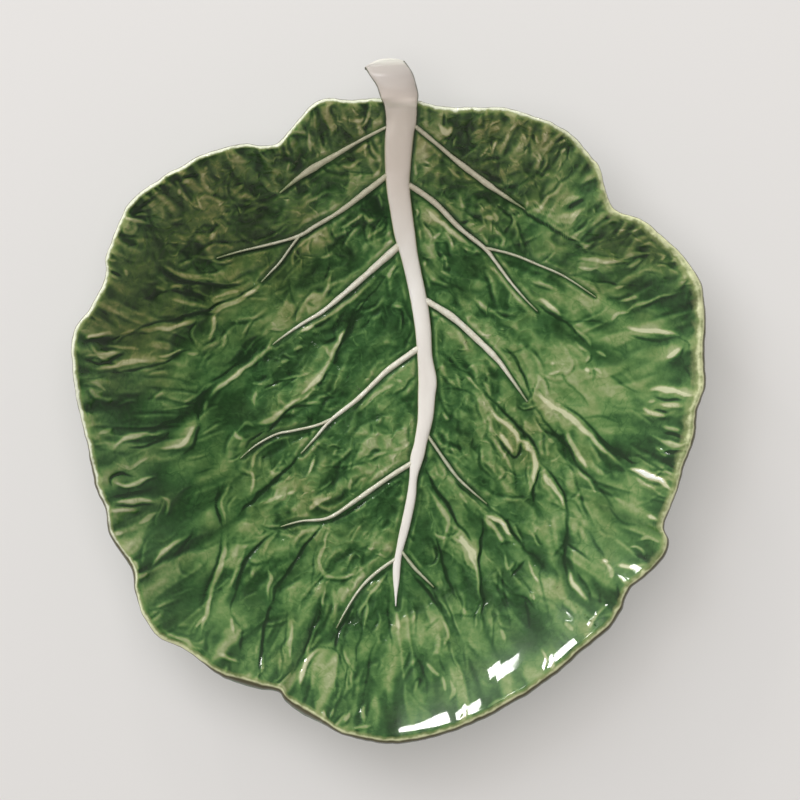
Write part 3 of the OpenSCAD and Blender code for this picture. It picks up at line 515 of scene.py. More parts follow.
# Where the rim's edge rolls outwards, at pixels of the photograph: across, down, radius, and how far in mm
RIM_ROLLS = [
    (245, 690, 30, 2.4), (303, 715, 24, 2.6), (380, 742, 50, 1.0), (480, 728, 60, 0.9), (560, 690, 60, 0.9),
    (620, 625, 50, 0.9), (665, 560, 40, 0.6), (700, 440, 50, 0.5), (700, 350, 50, 0.5), (120, 560, 30, 0.8),
    (100, 480, 30, 0.5)]

# Where the pale glaze along the rim runs wider or narrower, in the same way, as a share
RIM_BANDS = [
    (695, 300, 90, 0.9), (702, 420, 80, 1.0), (600, 200, 50, 0.5), (668, 560, 50, 0.4), (200, 160, 130, -0.3),
    (350, 95, 60, -0.2), (130, 590, 60, -0.15)]

rng = np.random.default_rng(SEED)
LATTICE = rng.uniform(-1, 1, (LATTICE_SIDE, LATTICE_SIDE))
SEED_ACROSS = rng.uniform(0.1, 0.9, (LATTICE_SIDE, LATTICE_SIDE))
SEED_ALONG = rng.uniform(0.1, 0.9, (LATTICE_SIDE, LATTICE_SIDE))


def soft_step(low, high, value):
    """0 below low, 1 above high, and a smooth rise between"""
    s = np.clip((value - low) / (high - low), 0, 1)
    return s * s * (3 - 2 * s)


def smooth_rows(rows, steps, closed=False):
    """Rows of numbers on a smooth curve through the given rows, with that many steps to a leg"""
    rows = np.array(rows, float)
    count = len(rows)
    out = []
    for i in range(count if closed else count - 1):
        near = [i - 1, i, i + 1, i + 2]
        near = [k % count if closed else min(max(k, 0), count - 1) for k in near]
        a, b, c, d = rows[near]
        for k in range(steps):
            t = k / steps
            out.append(b + ((c - a) * t + (2 * a - 5 * b + 4 * c - d) * t ** 2
                            + (3 * b - a - 3 * c + d) * t ** 3) / 2)
    if not closed:
        out.append(rows[-1])
    return np.array(out)


def on_plate(pixels):
    """Millimetres on the plate under pixels of the photograph"""
    pixels = np.array(pixels, float)
    return (pixels - PHOTO_MID) * PX_MM * [1, -1]


def noise(x, y, size, shift=0):
    """Smooth noise from about -1 to 1 with bumps of about that size"""
    u = x / size + SHIFT_ACROSS * shift + LATTICE_SIDE / 2
    v = y / size + SHIFT_ALONG * shift + LATTICE_SIDE / 2
    i, j = np.floor(u).astype(int), np.floor(v).astype(int)
    s, t = u - i, v - j

    def corner(a, b):
        spin = math.pi * LATTICE[(i + a) % LATTICE_SIDE, (j + b) % LATTICE_SIDE]
        return np.cos(spin) * (s - a) + np.sin(spin) * (t - b)

    eased_s, eased_t = s * s * (3 - 2 * s), t * t * (3 - 2 * t)
    low = corner(0, 0) * (1 - eased_t) + corner(0, 1) * eased_t
    high = corner(1, 0) * (1 - eased_t) + corner(1, 1) * eased_t
    return NOISE_GAIN * (low * (1 - eased_s) + high * eased_s)


def strands(x, y, size, flow, stretch, shift=0):
    """Noise from about -1 to 1 whose bumps are drawn out along the flow"""
    u, v = x / size + shift + LATTICE_SIDE / 2, y / size + LATTICE_SIDE / 2
    i, j = np.floor(u).astype(int), np.floor(v).astype(int)
    total = np.zeros(x.shape)
    for a in range(-2, 3):
        for b in range(-2, 3):
            m, n = (i + a) % LATTICE_SIDE, (j + b) % LATTICE_SIDE
            across = i + a + SEED_ACROSS[m, n] - u
            along = j + b + SEED_ALONG[m, n] - v
            p = (across * flow[0] + along * flow[1]) / stretch
            q = -across * flow[1] + along * flow[0]
            total += LATTICE[m, n] * np.exp(-(p ** 2 + q ** 2) / STRAND_SPREAD)
    return STRAND_GAIN * total


def fold_pair(value, width):
    """A crest beside a groove where the value passes through 0: 1 and -1, and 0 away from there"""
    s = value / width
    return s * np.exp((1 - s ** 2) / 2)


def segment_gaps(x, y, line):
    """Each point's distance from each segment of a line, and how far along the segment it is nearest"""
    a, b = line[:-1, :2], line[1:, :2]
    way = b - a
    length2 = np.maximum((way ** 2).sum(1), 1e-9)
    px, py = x[:, None] - a[:, 0], y[:, None] - a[:, 1]
    s = np.clip((px * way[:, 0] + py * way[:, 1]) / length2, 0, 1)
    return np.hypot(px - s * way[:, 0], py - s * way[:, 1]), s


def near_line(x, y, line, margin):
    """The points near a line: which they are, how far off on either side, and how far along they lie"""
    low, high = line.min(0) - margin, line.max(0) + margin
    near = np.nonzero((x > low[0]) & (x < high[0]) & (y > low[1]) & (y < high[1]))[0]
    if len(near) == 0:
        return near, None, None
    gaps, s = segment_gaps(x[near], y[near], line)
    pick = gaps.argmin(1)
    rows = np.arange(len(near))
    leg = line[pick + 1] - line[pick]
    side = np.sign(leg[:, 0] * (y[near] - line[pick, 1]) - leg[:, 1] * (x[near] - line[pick, 0]))
    return near, gaps[rows, pick] * side, (pick + s[rows, pick]) / (len(line) - 1)


def taper_at(share, blunt):
    """1 in the middle of a line and less towards its ends, which stay that blunt"""
    return np.sqrt(np.sin(np.pi * np.clip(share, blunt, 1 - blunt)))


def stroke_strength(x, y, strokes, width):
    """How strongly each point is under one of the strokes: 1 on its line, less towards its ends"""
    strength = np.zeros(x.shape)
    for stroke in strokes:
        line = smooth_rows(on_plate(np.reshape(stroke, (-1, 2))), 4)
        near, gap, share = near_line(x, y, line, 3 * width)
        if len(near) == 0:
            continue
        taper = taper_at(share, 0.04)
        uneven = 1 + 0.35 * noise(x[near], y[near], 7, 30)
        value = taper * np.exp(-(gap / (width * (0.5 + 0.5 * taper) * uneven)) ** 2)
        value *= np.clip(1.0 + 0.35 * noise(x[near], y[near], 12, 31), 0.55, 1.2)
        strength[near] = np.maximum(strength[near], value)
    return strength


def fold_strength(x, y, folds):
    """Crests and, along one side of each, grooves of the small folds at each point"""
    crest, groove = np.zeros(x.shape), np.zeros(x.shape)
    for line, width, side, amount in folds:
        near, gap, share = near_line(x, y, line, 4 * width)
        if len(near) == 0:
            continue
        taper = amount * taper_at(share, 0.02)
        crest[near] = np.maximum(crest[near], taper * np.exp(-(gap / width) ** 2))
        beside = (gap * side - 1.6 * width) / (0.75 * width)
        groove[near] = np.maximum(groove[near], taper * np.exp(-beside ** 2))
    return crest, groove


def patch_sum(x, y, patches):
    """Sum of the soft patches at each point"""
    total = np.zeros(x.shape)
    for across, down, radius, amount in patches:
        p = on_plate((across, down))
        total += amount * np.exp(-((x - p[0]) ** 2 + (y - p[1]) ** 2) / (radius * PX_MM) ** 2)
    return total


def from_middle(x, y):
    """Each point's way from the dish's middle, how far it lies from there and in which direction"""
    way = np.array([x - DISH_MID[0], y - DISH_MID[1]])
    return way, np.hypot(*way), np.arctan2(way[1], way[0])


def spot_at(r, turn):
    """The point that far out from the dish's middle in that direction"""
    return DISH_MID[0] + r * np.cos(turn), DISH_MID[1] + r * np.sin(turn)


# The rim about the middle of the dish, by direction
rim = smooth_rows(np.array(RIM_SHARES) * [HALF_W, HALF_L, 1], RIM_STEPS, closed=True)
_, rim_reach, rim_turn = from_middle(rim[:, 0], rim[:, 1])
rim_order = np.argsort(rim_turn)


def at_turn(values, turn):
    """Values of the rim's points, read off in those directions"""
    return np.interp(turn, rim_turn[rim_order], values[rim_order], period=2 * math.pi)


def wall_reach_at(turn):
    """How far out the wall runs"""
    return at_turn(rim_reach, turn) - RIM_INSET


def reach_at(turn):
    """How far out the rim's edge is, with its small waves"""
    x, y = RING_R * np.cos(turn), RING_R * np.sin(turn)
    return wall_reach_at(turn) + 0.45 * noise(x, y, 9, 3) + 0.2 * noise(x, y, 4, 5)


def lift_at(turn):
    """Height of the rim, as a share of RIM_RISE"""
    return at_turn(rim[:, 2], turn)


def wall_share(r, rim_r):
    """How far up the wall a point lies: 0 at the flat middle, 1 at the rim"""
    return np.clip((r - WELL_R) / (rim_r - WELL_R), 0, 1)


def bend(t):
    """Height of the wall's section: ever steeper up to STEEP_SHARE, and eased from there on"""
    steep = t ** 2 / (2 * STEEP_SHARE)
    past = t - STEEP_SHARE
    eased = STEEP_SHARE / 2 + past - (1 - EASE_SHARE) * past ** 2 / (2 * (1 - STEEP_SHARE))
    return np.where(t < STEEP_SHARE, steep, eased)


def slope_at(t, rim_r, lift):
    """The wall's rise over its run at that share of it"""
    eased = 1 - (1 - EASE_SHARE) * (t - STEEP_SHARE) / (1 - STEEP_SHARE)
    steepness = np.where(t < STEEP_SHARE, t / STEEP_SHARE, eased)
    return RIM_RISE * lift * steepness / bend(np.array(1.0)) / (rim_r - WELL_R)


def calm_at(turn):
    """1 in the part of the wall that is smooth and even, 0 elsewhere"""
    return soft_step(0.15, 0.65, np.cos(turn) * CALM_WAY[0] + np.sin(turn) * CALM_WAY[1])


def wall_z(turn, t, lift):
    """Height of the dished wall with its broad crimps"""
    crimp = CRIMP_H * (1 - CALM_FADE * calm_at(turn)) * soft_step(CRIMP_START_SHARE, CRIMP_FULL_SHARE, t) * (
        COARSE_CRIMP_SHARE * np.sin(CRIMP_COUNT * turn + CRIMP_TURN)
        + (1 - COARSE_CRIMP_SHARE) * np.sin(FINE_CRIMP_COUNT * turn + FINE_CRIMP_TURN))
    return FLOOR_Z + RIM_RISE * lift * bend(t) / bend(np.array(1.0)) + crimp


# Middle lines with their widths: the midrib, then the veins and twigs
midrib_edges = np.array(MIDRIB_SHARES) * [HALF_W, HALF_L, HALF_W, HALF_L]
midrib_line = np.column_stack([
    (midrib_edges[:, :2] + midrib_edges[:, 2:]) / 2,
    np.hypot(*(midrib_edges[:, 2:] - midrib_edges[:, :2]).T)])
vein_lines = {
    name: smooth_rows(np.array(rows) * [HALF_W, HALF_L, VEIN_W], VEIN_STEPS) for name, rows in VEINS.items()}
all_lines = [smooth_rows(midrib_line, 2)] + [line[::3] for line in vein_lines.values()]


def vein_gaps(x, y):
    """Distance from the nearest vein's middle and from its edge, and the way that the veins run there"""
    middle = np.full(x.shape, FAR)
    edge = np.full(x.shape, FAR)
    way = np.zeros((2,) + x.shape)
    for k, line in enumerate(all_lines):
        gaps, s = segment_gaps(x, y, line)
        half = (line[:-1, 2] * (1 - s) + line[1:, 2] * s) / 2
        middle = np.minimum(middle, gaps.min(1))
        edge = np.minimum(edge, (gaps - half).min(1))
        if k:
            legs = line[1:, :2] - line[:-1, :2]
            legs /= np.hypot(legs[:, 0], legs[:, 1])[:, None]
            pull = 1 / (gaps ** 2 + 25) ** 1.5
            way += np.array([(pull * legs[:, 0]).sum(1), (pull * legs[:, 1]).sum(1)])
    return middle, edge, way / np.maximum(np.hypot(*way), 1e-9)


def flow_at(x, y, way):
    """The way that the leaf's folds run: along the veins, and outwards towards the rim"""
    q, r, turn = from_middle(x, y)
    out_share = soft_step(0.35, 0.95, wall_share(r, wall_reach_at(turn)))
    flow = way * (1 - out_share) + q / np.maximum(r, 1e-6) * out_share
    return flow / np.maximum(np.hypot(*flow), 1e-9)


def scattered_folds(count, length, width, spread):
    """Small folds at random places that roughly follow the flow, as lines with width, side and amount"""
    turn = rng.uniform(-math.pi, math.pi, count)
    reach = np.sqrt(rng.uniform(0.01, 0.93, count)) * wall_reach_at(turn)
    x, y = spot_at(reach, turn)
    step = rng.uniform(0.5, 1.5, count) * length / 4
    lean = rng.normal(0, spread, count)
    curl = rng.normal(0, 0.22, count)
    spots = [np.column_stack([x, y])]
    for _ in range(4):
        flow = flow_at(x, y, vein_gaps(x, y)[2])
        x = x + step * (flow[0] * np.cos(lean) - flow[1] * np.sin(lean))
        y = y + step * (flow[1] * np.cos(lean) + flow[0] * np.sin(lean))
        lean = lean + curl
        spots.append(np.column_stack([x, y]))
    widths = width * rng.uniform(0.7, 1.4, count)
    sides = rng.choice([-1, 1], count)
    amounts = rng.uniform(0.35, 1.0, count)
    lines = np.stack(spots, 1)
    return [(smooth_rows(lines[k], 2), widths[k], sides[k], amounts[k]) for k in range(count)]


LONG_FOLDS = scattered_folds(count=420, length=13.0, width=0.95, spread=0.35)
SHORT_FOLDS = scattered_folds(count=1000, length=5.0, width=0.50, spread=1.0)


def leaf_fields(x, y):
    """What the leaf's face shows at each point: height over the smooth wall, and where its glazes lie"""
    q, r, turn = from_middle(x, y)
    rim_r = reach_at(turn)
    t = wall_share(r, wall_reach_at(turn))
    middle, edge, way = vein_gaps(x, y)
    # Where the painted shade beside the veins falls, down and to the right of them
    vein_shade_gap = vein_gaps(x - VEIN_SHADE_SHIFT, y + VEIN_SHADE_SHIFT)[1]
    outward = q / np.maximum(r, 1e-6)
    flow = flow_at(x, y, way)

    # Places are swayed a little, so that nothing runs ruler straight
    sway_x = x + 3.0 * noise(x, y, 17, 1) + 1.1 * noise(x, y, 6, 2)
    sway_y = y + 3.0 * noise(x, y, 17, 4) + 1.1 * noise(x, y, 6, 6)
    near_x = x + 0.8 * noise(x, y, 7, 7)
    near_y = y + 0.8 * noise(x, y, 7, 8)

    def strokes(lines, width, shift=0.0):
        """Strength of the strokes, moved that far to the right and down"""
        return stroke_strength(near_x - shift, near_y + shift, lines, width)

    bold, soft = strokes(BOLD_CRESTS, BOLD_W), strokes(SOFT_CRESTS, SOFT_W)
    deep, fine = strokes(BOLD_GROOVES, DEEP_W), strokes(FINE_GROOVES, FINE_W)
    # Painted glints: white streaks that stand for reflections on a few crests
    bare = strokes(PAINTED_GLINTS, GLINT_W)
    # Painted highlight on the upper left side of the bold crests, and painted shade below and to the right of
    # the crests
    crest_painted_light = strokes(BOLD_CRESTS, 2.8, -1.2)
    below = np.maximum(strokes(BOLD_CRESTS, 0.9, 1.1), 0.7 * strokes(SOFT_CRESTS, 0.7, 0.8))
    # Glaze pooled beside the bold grooves, with painted shade drawn to their lower right
    pool_and_shade = strokes(BOLD_GROOVES, 2.6, 0.5)
    long_crest, long_groove = fold_strength(near_x, near_y, LONG_FOLDS)
    short_crest, short_groove = fold_strength(near_x, near_y, SHORT_FOLDS)

    # Where the blisters show: less where the wall is calm or smooth, beside the veins and under the strokes
    calm = calm_at(turn) * soft_step(0.35, 0.8, t)
    rough = np.clip(1 - patch_sum(x, y, SMOOTH_PATCHES), 0, 1)
    crumpled = np.clip(0.3 + patch_sum(x, y, CRUMPLED_PATCHES), 0, 1)
    clear = 1 - np.exp(-(np.maximum(edge, 0) / 1.5) ** 2)
    drawn = np.clip(1 - 0.85 * np.maximum(np.maximum(bold, deep), 0.7 * soft), 0, 1)
    free = rough * clear * drawn
    small = clear * drawn * (0.2 + 0.8 * rough)
    tiny = free * crumpled

    # Humps drawn out along the veins, parted by creases, and finer folds on them where it is crumpled
    humps = strands(sway_x, sway_y, HUMP_L, flow, 2.3)
    folds = strands(sway_x, sway_y, FOLD_L, flow, 1.6, 40)
    specks = strands(sway_x, sway_y, SPECK_L, flow, 1.2, 90)
    hump_fold = fold_pair(humps, 0.30) * soft_step(-0.6, 0.3, noise(x, y, 15, 9))
    fold_fold = fold_pair(folds, 0.34) * soft_step(-0.4, 0.5, noise(x, y, 11, 10)) * crumpled

    # Long thin lines that run out to the rim, and wrinkles that run in from it
    ring = outward * (RING_R + 0.15 * r) + 4 * np.array([noise(x, y, 42, 21), noise(x, y, 42, 26)])
    rays = noise(ring[0] + 1.5 * noise(x, y, 13, 22), ring[1], RAY_L, 23)
    ray_fold = fold_pair(rays, 0.24) * soft_step(0.15, 0.5, t) * soft_step(-0.35, 0.4, noise(x, y, 22, 24))
    ray_fold *= 1 - 0.6 * crumpled
    rim_gap = rim_r - r
    ring = outward * (RING_R + 0.2 * r) + 1.5 * np.array([noise(x, y, 9, 13), noise(x, y, 9, 27)])
    wrinkle = noise(ring[0], ring[1], WRINKLE_L, 14) * soft_step(27, 7, rim_gap) * rough

    # Swellings beside the veins, and soft swells, which are lower where it is crumpled
    lip = np.exp(-((edge - 2.3) / 0.8) ** 2) * soft_step(-0.4, 0.5, noise(x, y, 10, 33)) * drawn
    swells = strands(sway_x, sway_y, SWELL_L, flow, 2.8, 150) * drawn * clear * (1 - 0.5 * crumpled * rough)

    puckers = free * (
        (HUMP_H - 0.15 * crumpled) * np.abs(humps) + (FOLD_H * np.abs(folds) + SPECK_H * specks) * crumpled
        + HUMP_FOLD_H * hump_fold + FOLD_FOLD_H * fold_fold + 0.3 * noise(x, y, 15, 11))
    puckers += drawn * (WRINKLE_H * wrinkle + RAY_H * ray_fold * clear) + VEIN_LIP_H * lip
    puckers += small * (LONG_CREST_H * long_crest - LONG_GROOVE_H * long_groove)
    puckers += tiny * (SHORT_CREST_H * short_crest - SHORT_GROOVE_H * short_groove)
    near_rim = 1 + 0.4 * soft_step(0.72, 0.92, t)
    lines = clear * near_rim * (0.1 + 0.9 * rough) * (
        BOLD_H * bold + SOFT_H * soft + DEEP_H * deep + FINE_H * fine)
    relief = (puckers + SWELL_H * swells) * (1 - CALM_RELIEF_FADE * calm) + lines
    relief -= CREVICE_D * np.exp(-(middle / FURROW_W) ** 2)

    # The glaze's tone: its slow changes, and what the strokes and the smallest folds add to them
    # The tone patches are in part painted light and shade: mostly paler on the right and lower walls, darker
    # on the upper left, and darker in the shade beside the midrib
    level = TONE_MID + patch_sum(x, y, TONE_AND_LIGHT_PATCHES) + 0.15 * noise(x, y, 20, 15)
    level += 0.09 * rays * soft_step(0.2, 0.6, t) * (1 - 0.5 * crumpled) + 0.16 * swells
    level += tiny * (0.13 * folds + 0.06 * specks) + clear * drawn * 0.06 * humps
    level += clear * drawn * (0.5 + 0.5 * rough) * (0.06 * hump_fold + 0.05 * fold_fold + 0.10 * ray_fold)
    level += 0.06 * lip + small * (0.18 * long_crest - 0.20 * long_groove)
    bare_ground = 1 - soft_step(0.2, 0.7, np.maximum(bold, soft))
    tones = clear * (
        BOLD_TONE * soft_step(0.12, 0.85, bold) + SOFT_TONE * soft_step(0.1, 0.9, soft)
        + DEEP_TONE * soft_step(0.05, 0.9, deep) + GLINT_TONE * bare + CREST_LIGHT_TONE * crest_painted_light + FINE_TONE * fine
        + POOL_AND_SHADE_TONE * pool_and_shade + CREST_SHADE_TONE * below * bare_ground)
    # Painted shade along the lower right side of the veins
    tones += VEIN_SHADE_TONE * np.exp(-(np.maximum(vein_shade_gap, 0) / 0.7) ** 2)
    tones += tiny * (0.26 * short_crest - 0.16 * short_groove)
    brown = np.clip(patch_sum(x, y, BROWN_PATCHES) + 0.3 * noise(x, y, 12, 16), 0, 1)
    crumple = free * (0.15 + 0.85 * crumpled) * (1 - 0.7 * calm)
    return {"relief": relief, "puckers": puckers, "lines": lines, "level": level, "tones": tones,
            "brown": brown, "rim_gap": rim_gap, "crumple": crumple, "tip": soft_step(-10, -70, y)}


def face_height(x, y, fields):
    """Height of the leaf's face, whose relief fades out beside the lip"""
    _, r, turn = from_middle(x, y)
    fade = soft_step(0.0, 3.0, reach_at(turn) - r - LIP_R)
    return wall_z(turn, wall_share(r, wall_reach_at(turn)), lift_at(turn)) + fields["relief"] * fade


def ground_under(x, y):
    """Height of the leaf's face under a grid of points"""
    across, along = x.ravel(), y.ravel()
    return face_height(across, along, leaf_fields(across, along)).reshape(x.shape)


def add_mesh(name, points, faces, attributes):
    """A smooth mesh object from millimetre points, with its numbers for each point"""
    mesh = bpy.data.meshes.new(name)
    mesh.from_pydata((np.asarray(points) * MM).tolist(), [], faces)
    mesh.validate()
    mesh.polygons.foreach_set("use_smooth", np.ones(len(mesh.polygons), bool))
    for key, values in attributes.items():
        layer = mesh.attributes.new(key, "FLOAT", "POINT")
        layer.data.foreach_set("value", np.asarray(values, np.float32))
    mesh.update()
    piece = bpy.data.objects.new(name, mesh)
    bpy.context.scene.collection.objects.link(piece)
    return piece


def place(piece, node, slot, material):
    """Gives a piece its material and its body, and hides the imported node that it replaces; slot is not used
    """
    piece.data.materials.append(material)
    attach(piece, "root")
    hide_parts(node)


def ring_faces(first, count, rings):
    """Quads between rings of that many points, the first ring's points starting at first"""
    return [
        (first + k * count + i, first + (k + 1) * count + i,
         first + (k + 1) * count + (i + 1) % count, first + k * count + (i + 1) % count)
        for k in range(rings - 1) for i in range(count)]


def blurred(values, passes):
    """A grid of values, smoothed that many times over"""
    for _ in range(passes):
        for _ in range(2):
            wide = np.pad(values, [(1, 1), (0, 0)], mode="edge")
            values = ((wide[:-2] + 2 * wide[1:-1] + wide[2:]) / 4).T
    return values


def glaze_level(fields):
    """The glaze is thin and pale on what stands proud of its surroundings, and pools in what lies deeper"""
    puckers = fields["puckers"].reshape(GRID + 1, GRID + 1)
    lines = fields["lines"].reshape(GRID + 1, GRID + 1)
    pulled = sum(share * (puckers - blurred(puckers, passes)) for share, passes in PULLS)
    level = fields["level"] + pulled.ravel()
    # Nothing here is bare clay and nothing is black, so both ends of the tones are held back
    least = TONE_LOW + TONE_LOW_RAISED * fields["tip"]
    over, under = np.maximum(level - TONE_TOP, 0), np.maximum(least - level, 0)
    level = np.clip(level, least, TONE_TOP) + 0.26 * np.tanh(over / 0.32) - 0.18 * np.tanh(under / 0.22)
    return level + fields["tones"] + LINE_PULL * (lines - blurred(lines, LINE_PASSES)).ravel()


def build_leaf():
    """The leaf: a grid laid over its face, its rounded lip, and its underside"""
    line = np.linspace(-1, 1, GRID + 1)
    u, v = np.meshgrid(line, line)
    wide = np.abs(u) > np.abs(v)
    reach = np.maximum(np.abs(u), np.abs(v))
    safe_u, safe_v = np.where(u == 0, 1e-9, u), np.where(v == 0, 1e-9, v)
    angle = np.where(
        wide, v / safe_u * math.pi / 4 + np.where(u < 0, math.pi, 0),
        math.pi / 2 - u / safe_v * math.pi / 4 + np.where(v < 0, math.pi, 0))
    turn = angle.ravel()
    rim_r, lift = reach_at(turn), lift_at(turn)
    roll = patch_sum(*spot_at(rim_r, turn), RIM_ROLLS)
    tilt = np.arctan(slope_at(np.ones(turn.shape), rim_r, lift))
    edge_r = rim_r - LIP_R - LIP_R * np.sin(tilt) - roll
    r = reach.ravel() * edge_r
    x, y = spot_at(r, turn)
    fields = leaf_fields(x, y)
    fields["rim_gap"] = (fields["rim_gap"] - roll) / (1 + patch_sum(x, y, RIM_BANDS))
    fields["level"] = glaze_level(fields)
    z = face_height(x, y, fields)
    points = [np.column_stack([x, y, z])]
    keys = ("level", "brown", "rim_gap", "crumple")
    values = {key: [fields[key]] for key in keys}
    values["under"] = [np.zeros(len(x))]

    # Each square is split along the diagonal on which the glaze changes less, so that thin lines stay smooth
    index = np.arange((GRID + 1) ** 2).reshape(GRID + 1, GRID + 1)
    corners = (index[:-1, :-1], index[:-1, 1:], index[1:, 1:], index[1:, :-1])
    a, b, c, d = [corner.ravel() for corner in corners]
    level = fields["level"]
    split = np.abs(level[a] - level[c]) < np.abs(level[b] - level[d])
    first_half = np.where(split, [a, b, c], [a, b, d]).T
    second_half = np.where(split, [a, c, d], [b, c, d]).T
    faces = np.concatenate([first_half, second_half]).tolist()
    edge = np.concatenate([index[0, :-1], index[:-1, -1], index[-1, :0:-1], index[:0:-1, 0]])

    turn, rim_r, lift, tilt, roll = turn[edge], rim_r[edge], lift[edge], tilt[edge], roll[edge]
    edge_z = z[edge]

    def add_ring(radius, height, under):
        points.append(np.column_stack([*spot_at(radius, turn), height]))
        for key in keys:
            values[key].append(fields[key][edge] if key != "rim_gap" else rim_r - roll - radius)
        values["under"].append(np.minimum(under * (1 + 0.9 * roll / (roll + 0.5)), 1) + 0 * turn)

    for k in range(1, LIP_STEPS + 1):
        a = math.pi / 2 + tilt - math.pi * k / LIP_STEPS
        inset = roll * (1 - soft_step(0.15, 0.65, k / LIP_STEPS))
        add_ring(rim_r - LIP_R - inset + LIP_R * np.cos(a),
                 edge_z - LIP_R * np.cos(tilt) + LIP_R * np.sin(a) - 0.8 * (roll - inset), k / LIP_STEPS)
    out_r = rim_r - LIP_R + LIP_R * np.sin(tilt)
    for k in range(1, UNDER_RINGS + 1):
        radius = out_r + (FLAT_R - out_r) * k / UNDER_RINGS
        t = wall_share(radius, rim_r)
        thin = soft_step(0, THINNING_W, out_r - radius)
        thick = (2 * LIP_R * (1 - thin) + WALL_T * thin) * np.hypot(1, slope_at(t, rim_r, lift))
        height = wall_z(turn, t, lift) - thick if k < UNDER_RINGS else np.full(len(turn), FOOT_H)
        add_ring(radius, height, 1.0)
    points.append(np.array([[DISH_MID[0], DISH_MID[1], FOOT_H]]))
    for key, value in (("level", 0.4), ("brown", 0.2), ("rim_gap", FAR), ("crumple", 0), ("under", 1)):
        values[key].append(np.array([value]))

    count, first = len(edge), (GRID + 1) ** 2
    rings = LIP_STEPS + UNDER_RINGS
    for i in range(count):
        j = (i + 1) % count
        faces.append((int(edge[i]), first + i, first + j, int(edge[j])))
    faces += ring_faces(first, count, rings)
    last, centre = first + (rings - 1) * count, first + rings * count
    faces += [(last + i, centre, last + (i + 1) % count) for i in range(count)]
    attributes = {key: np.concatenate(parts) for key, parts in values.items()}
    return add_mesh("leaf_surface", np.concatenate(points), faces, attributes)


def tube(name, rings, attributes):
    """A closed tube over rings of points, with a point in the middle of either end"""
    count = rings.shape[1]
    points = np.concatenate([rings.reshape(-1, 3), [rings[0].mean(0)], [rings[-1].mean(0)]])
    faces = ring_faces(0, count, len(rings))
    start, end = len(rings) * count, len(rings) * count + 1
    last = (len(rings) - 1) * count
    faces += [(start, i, (i + 1) % count) for i in range(count)]
    faces += [(last + i, end, last + (i + 1) % count) for i in range(count)]
    full = {
        key: np.concatenate([value.ravel(), [value[0].mean()], [value[-1].mean()]])
        for key, value in attributes.items()}
    return add_mesh(name, points, faces, full)


def build_vein(name, line):
    """A side vein or twig: a rounded ridge along its route, with a soft foot bedded in the leaf"""
    way = np.gradient(line[:, :2], axis=0)
    way /= np.hypot(way[:, 0], way[:, 1])[:, None]
    side = np.column_stack([-way[:, 1], way[:, 0]])
    a = np.linspace(0, 2 * math.pi, VEIN_SIDES, endpoint=False)
    # A little unevenness, as of a hand-cut vein
    w = line[:, 2] * (1 + 0.14 * noise(line[:, 0], line[:, 1], 7, 20))
    h = VEIN_H * (THREAD_H_SHARE + (1 - THREAD_H_SHARE) * w / VEIN_W) * VEIN_SHOWN_H
    reach = np.cos(a) * w[:, None] * VEIN_HALF_W
    x = line[:, :1] + side[:, :1] * reach
    y = line[:, 1:2] + side[:, 1:] * reach
    ground = ground_under(x, y)
    ground = ground.mean(1)[:, None] * 0.6 + ground * 0.4
    up = np.where(np.sin(a) > 0, h[:, None] * np.abs(np.sin(a)) ** 1.4, -LUTING_D * np.abs(np.sin(a)))
    rings = np.stack([x, y, ground + up - 0.1], -1)
    share = np.linspace(0, 1, len(line))[:, None] + 0 * a
    crown = np.sin(a) + 0 * w[:, None]
    pale = VEIN_PALENESS[name] + 0 * crown
    return tube(name + "_ridge", rings, {"along": share, "crown": crown, "pale": pale})


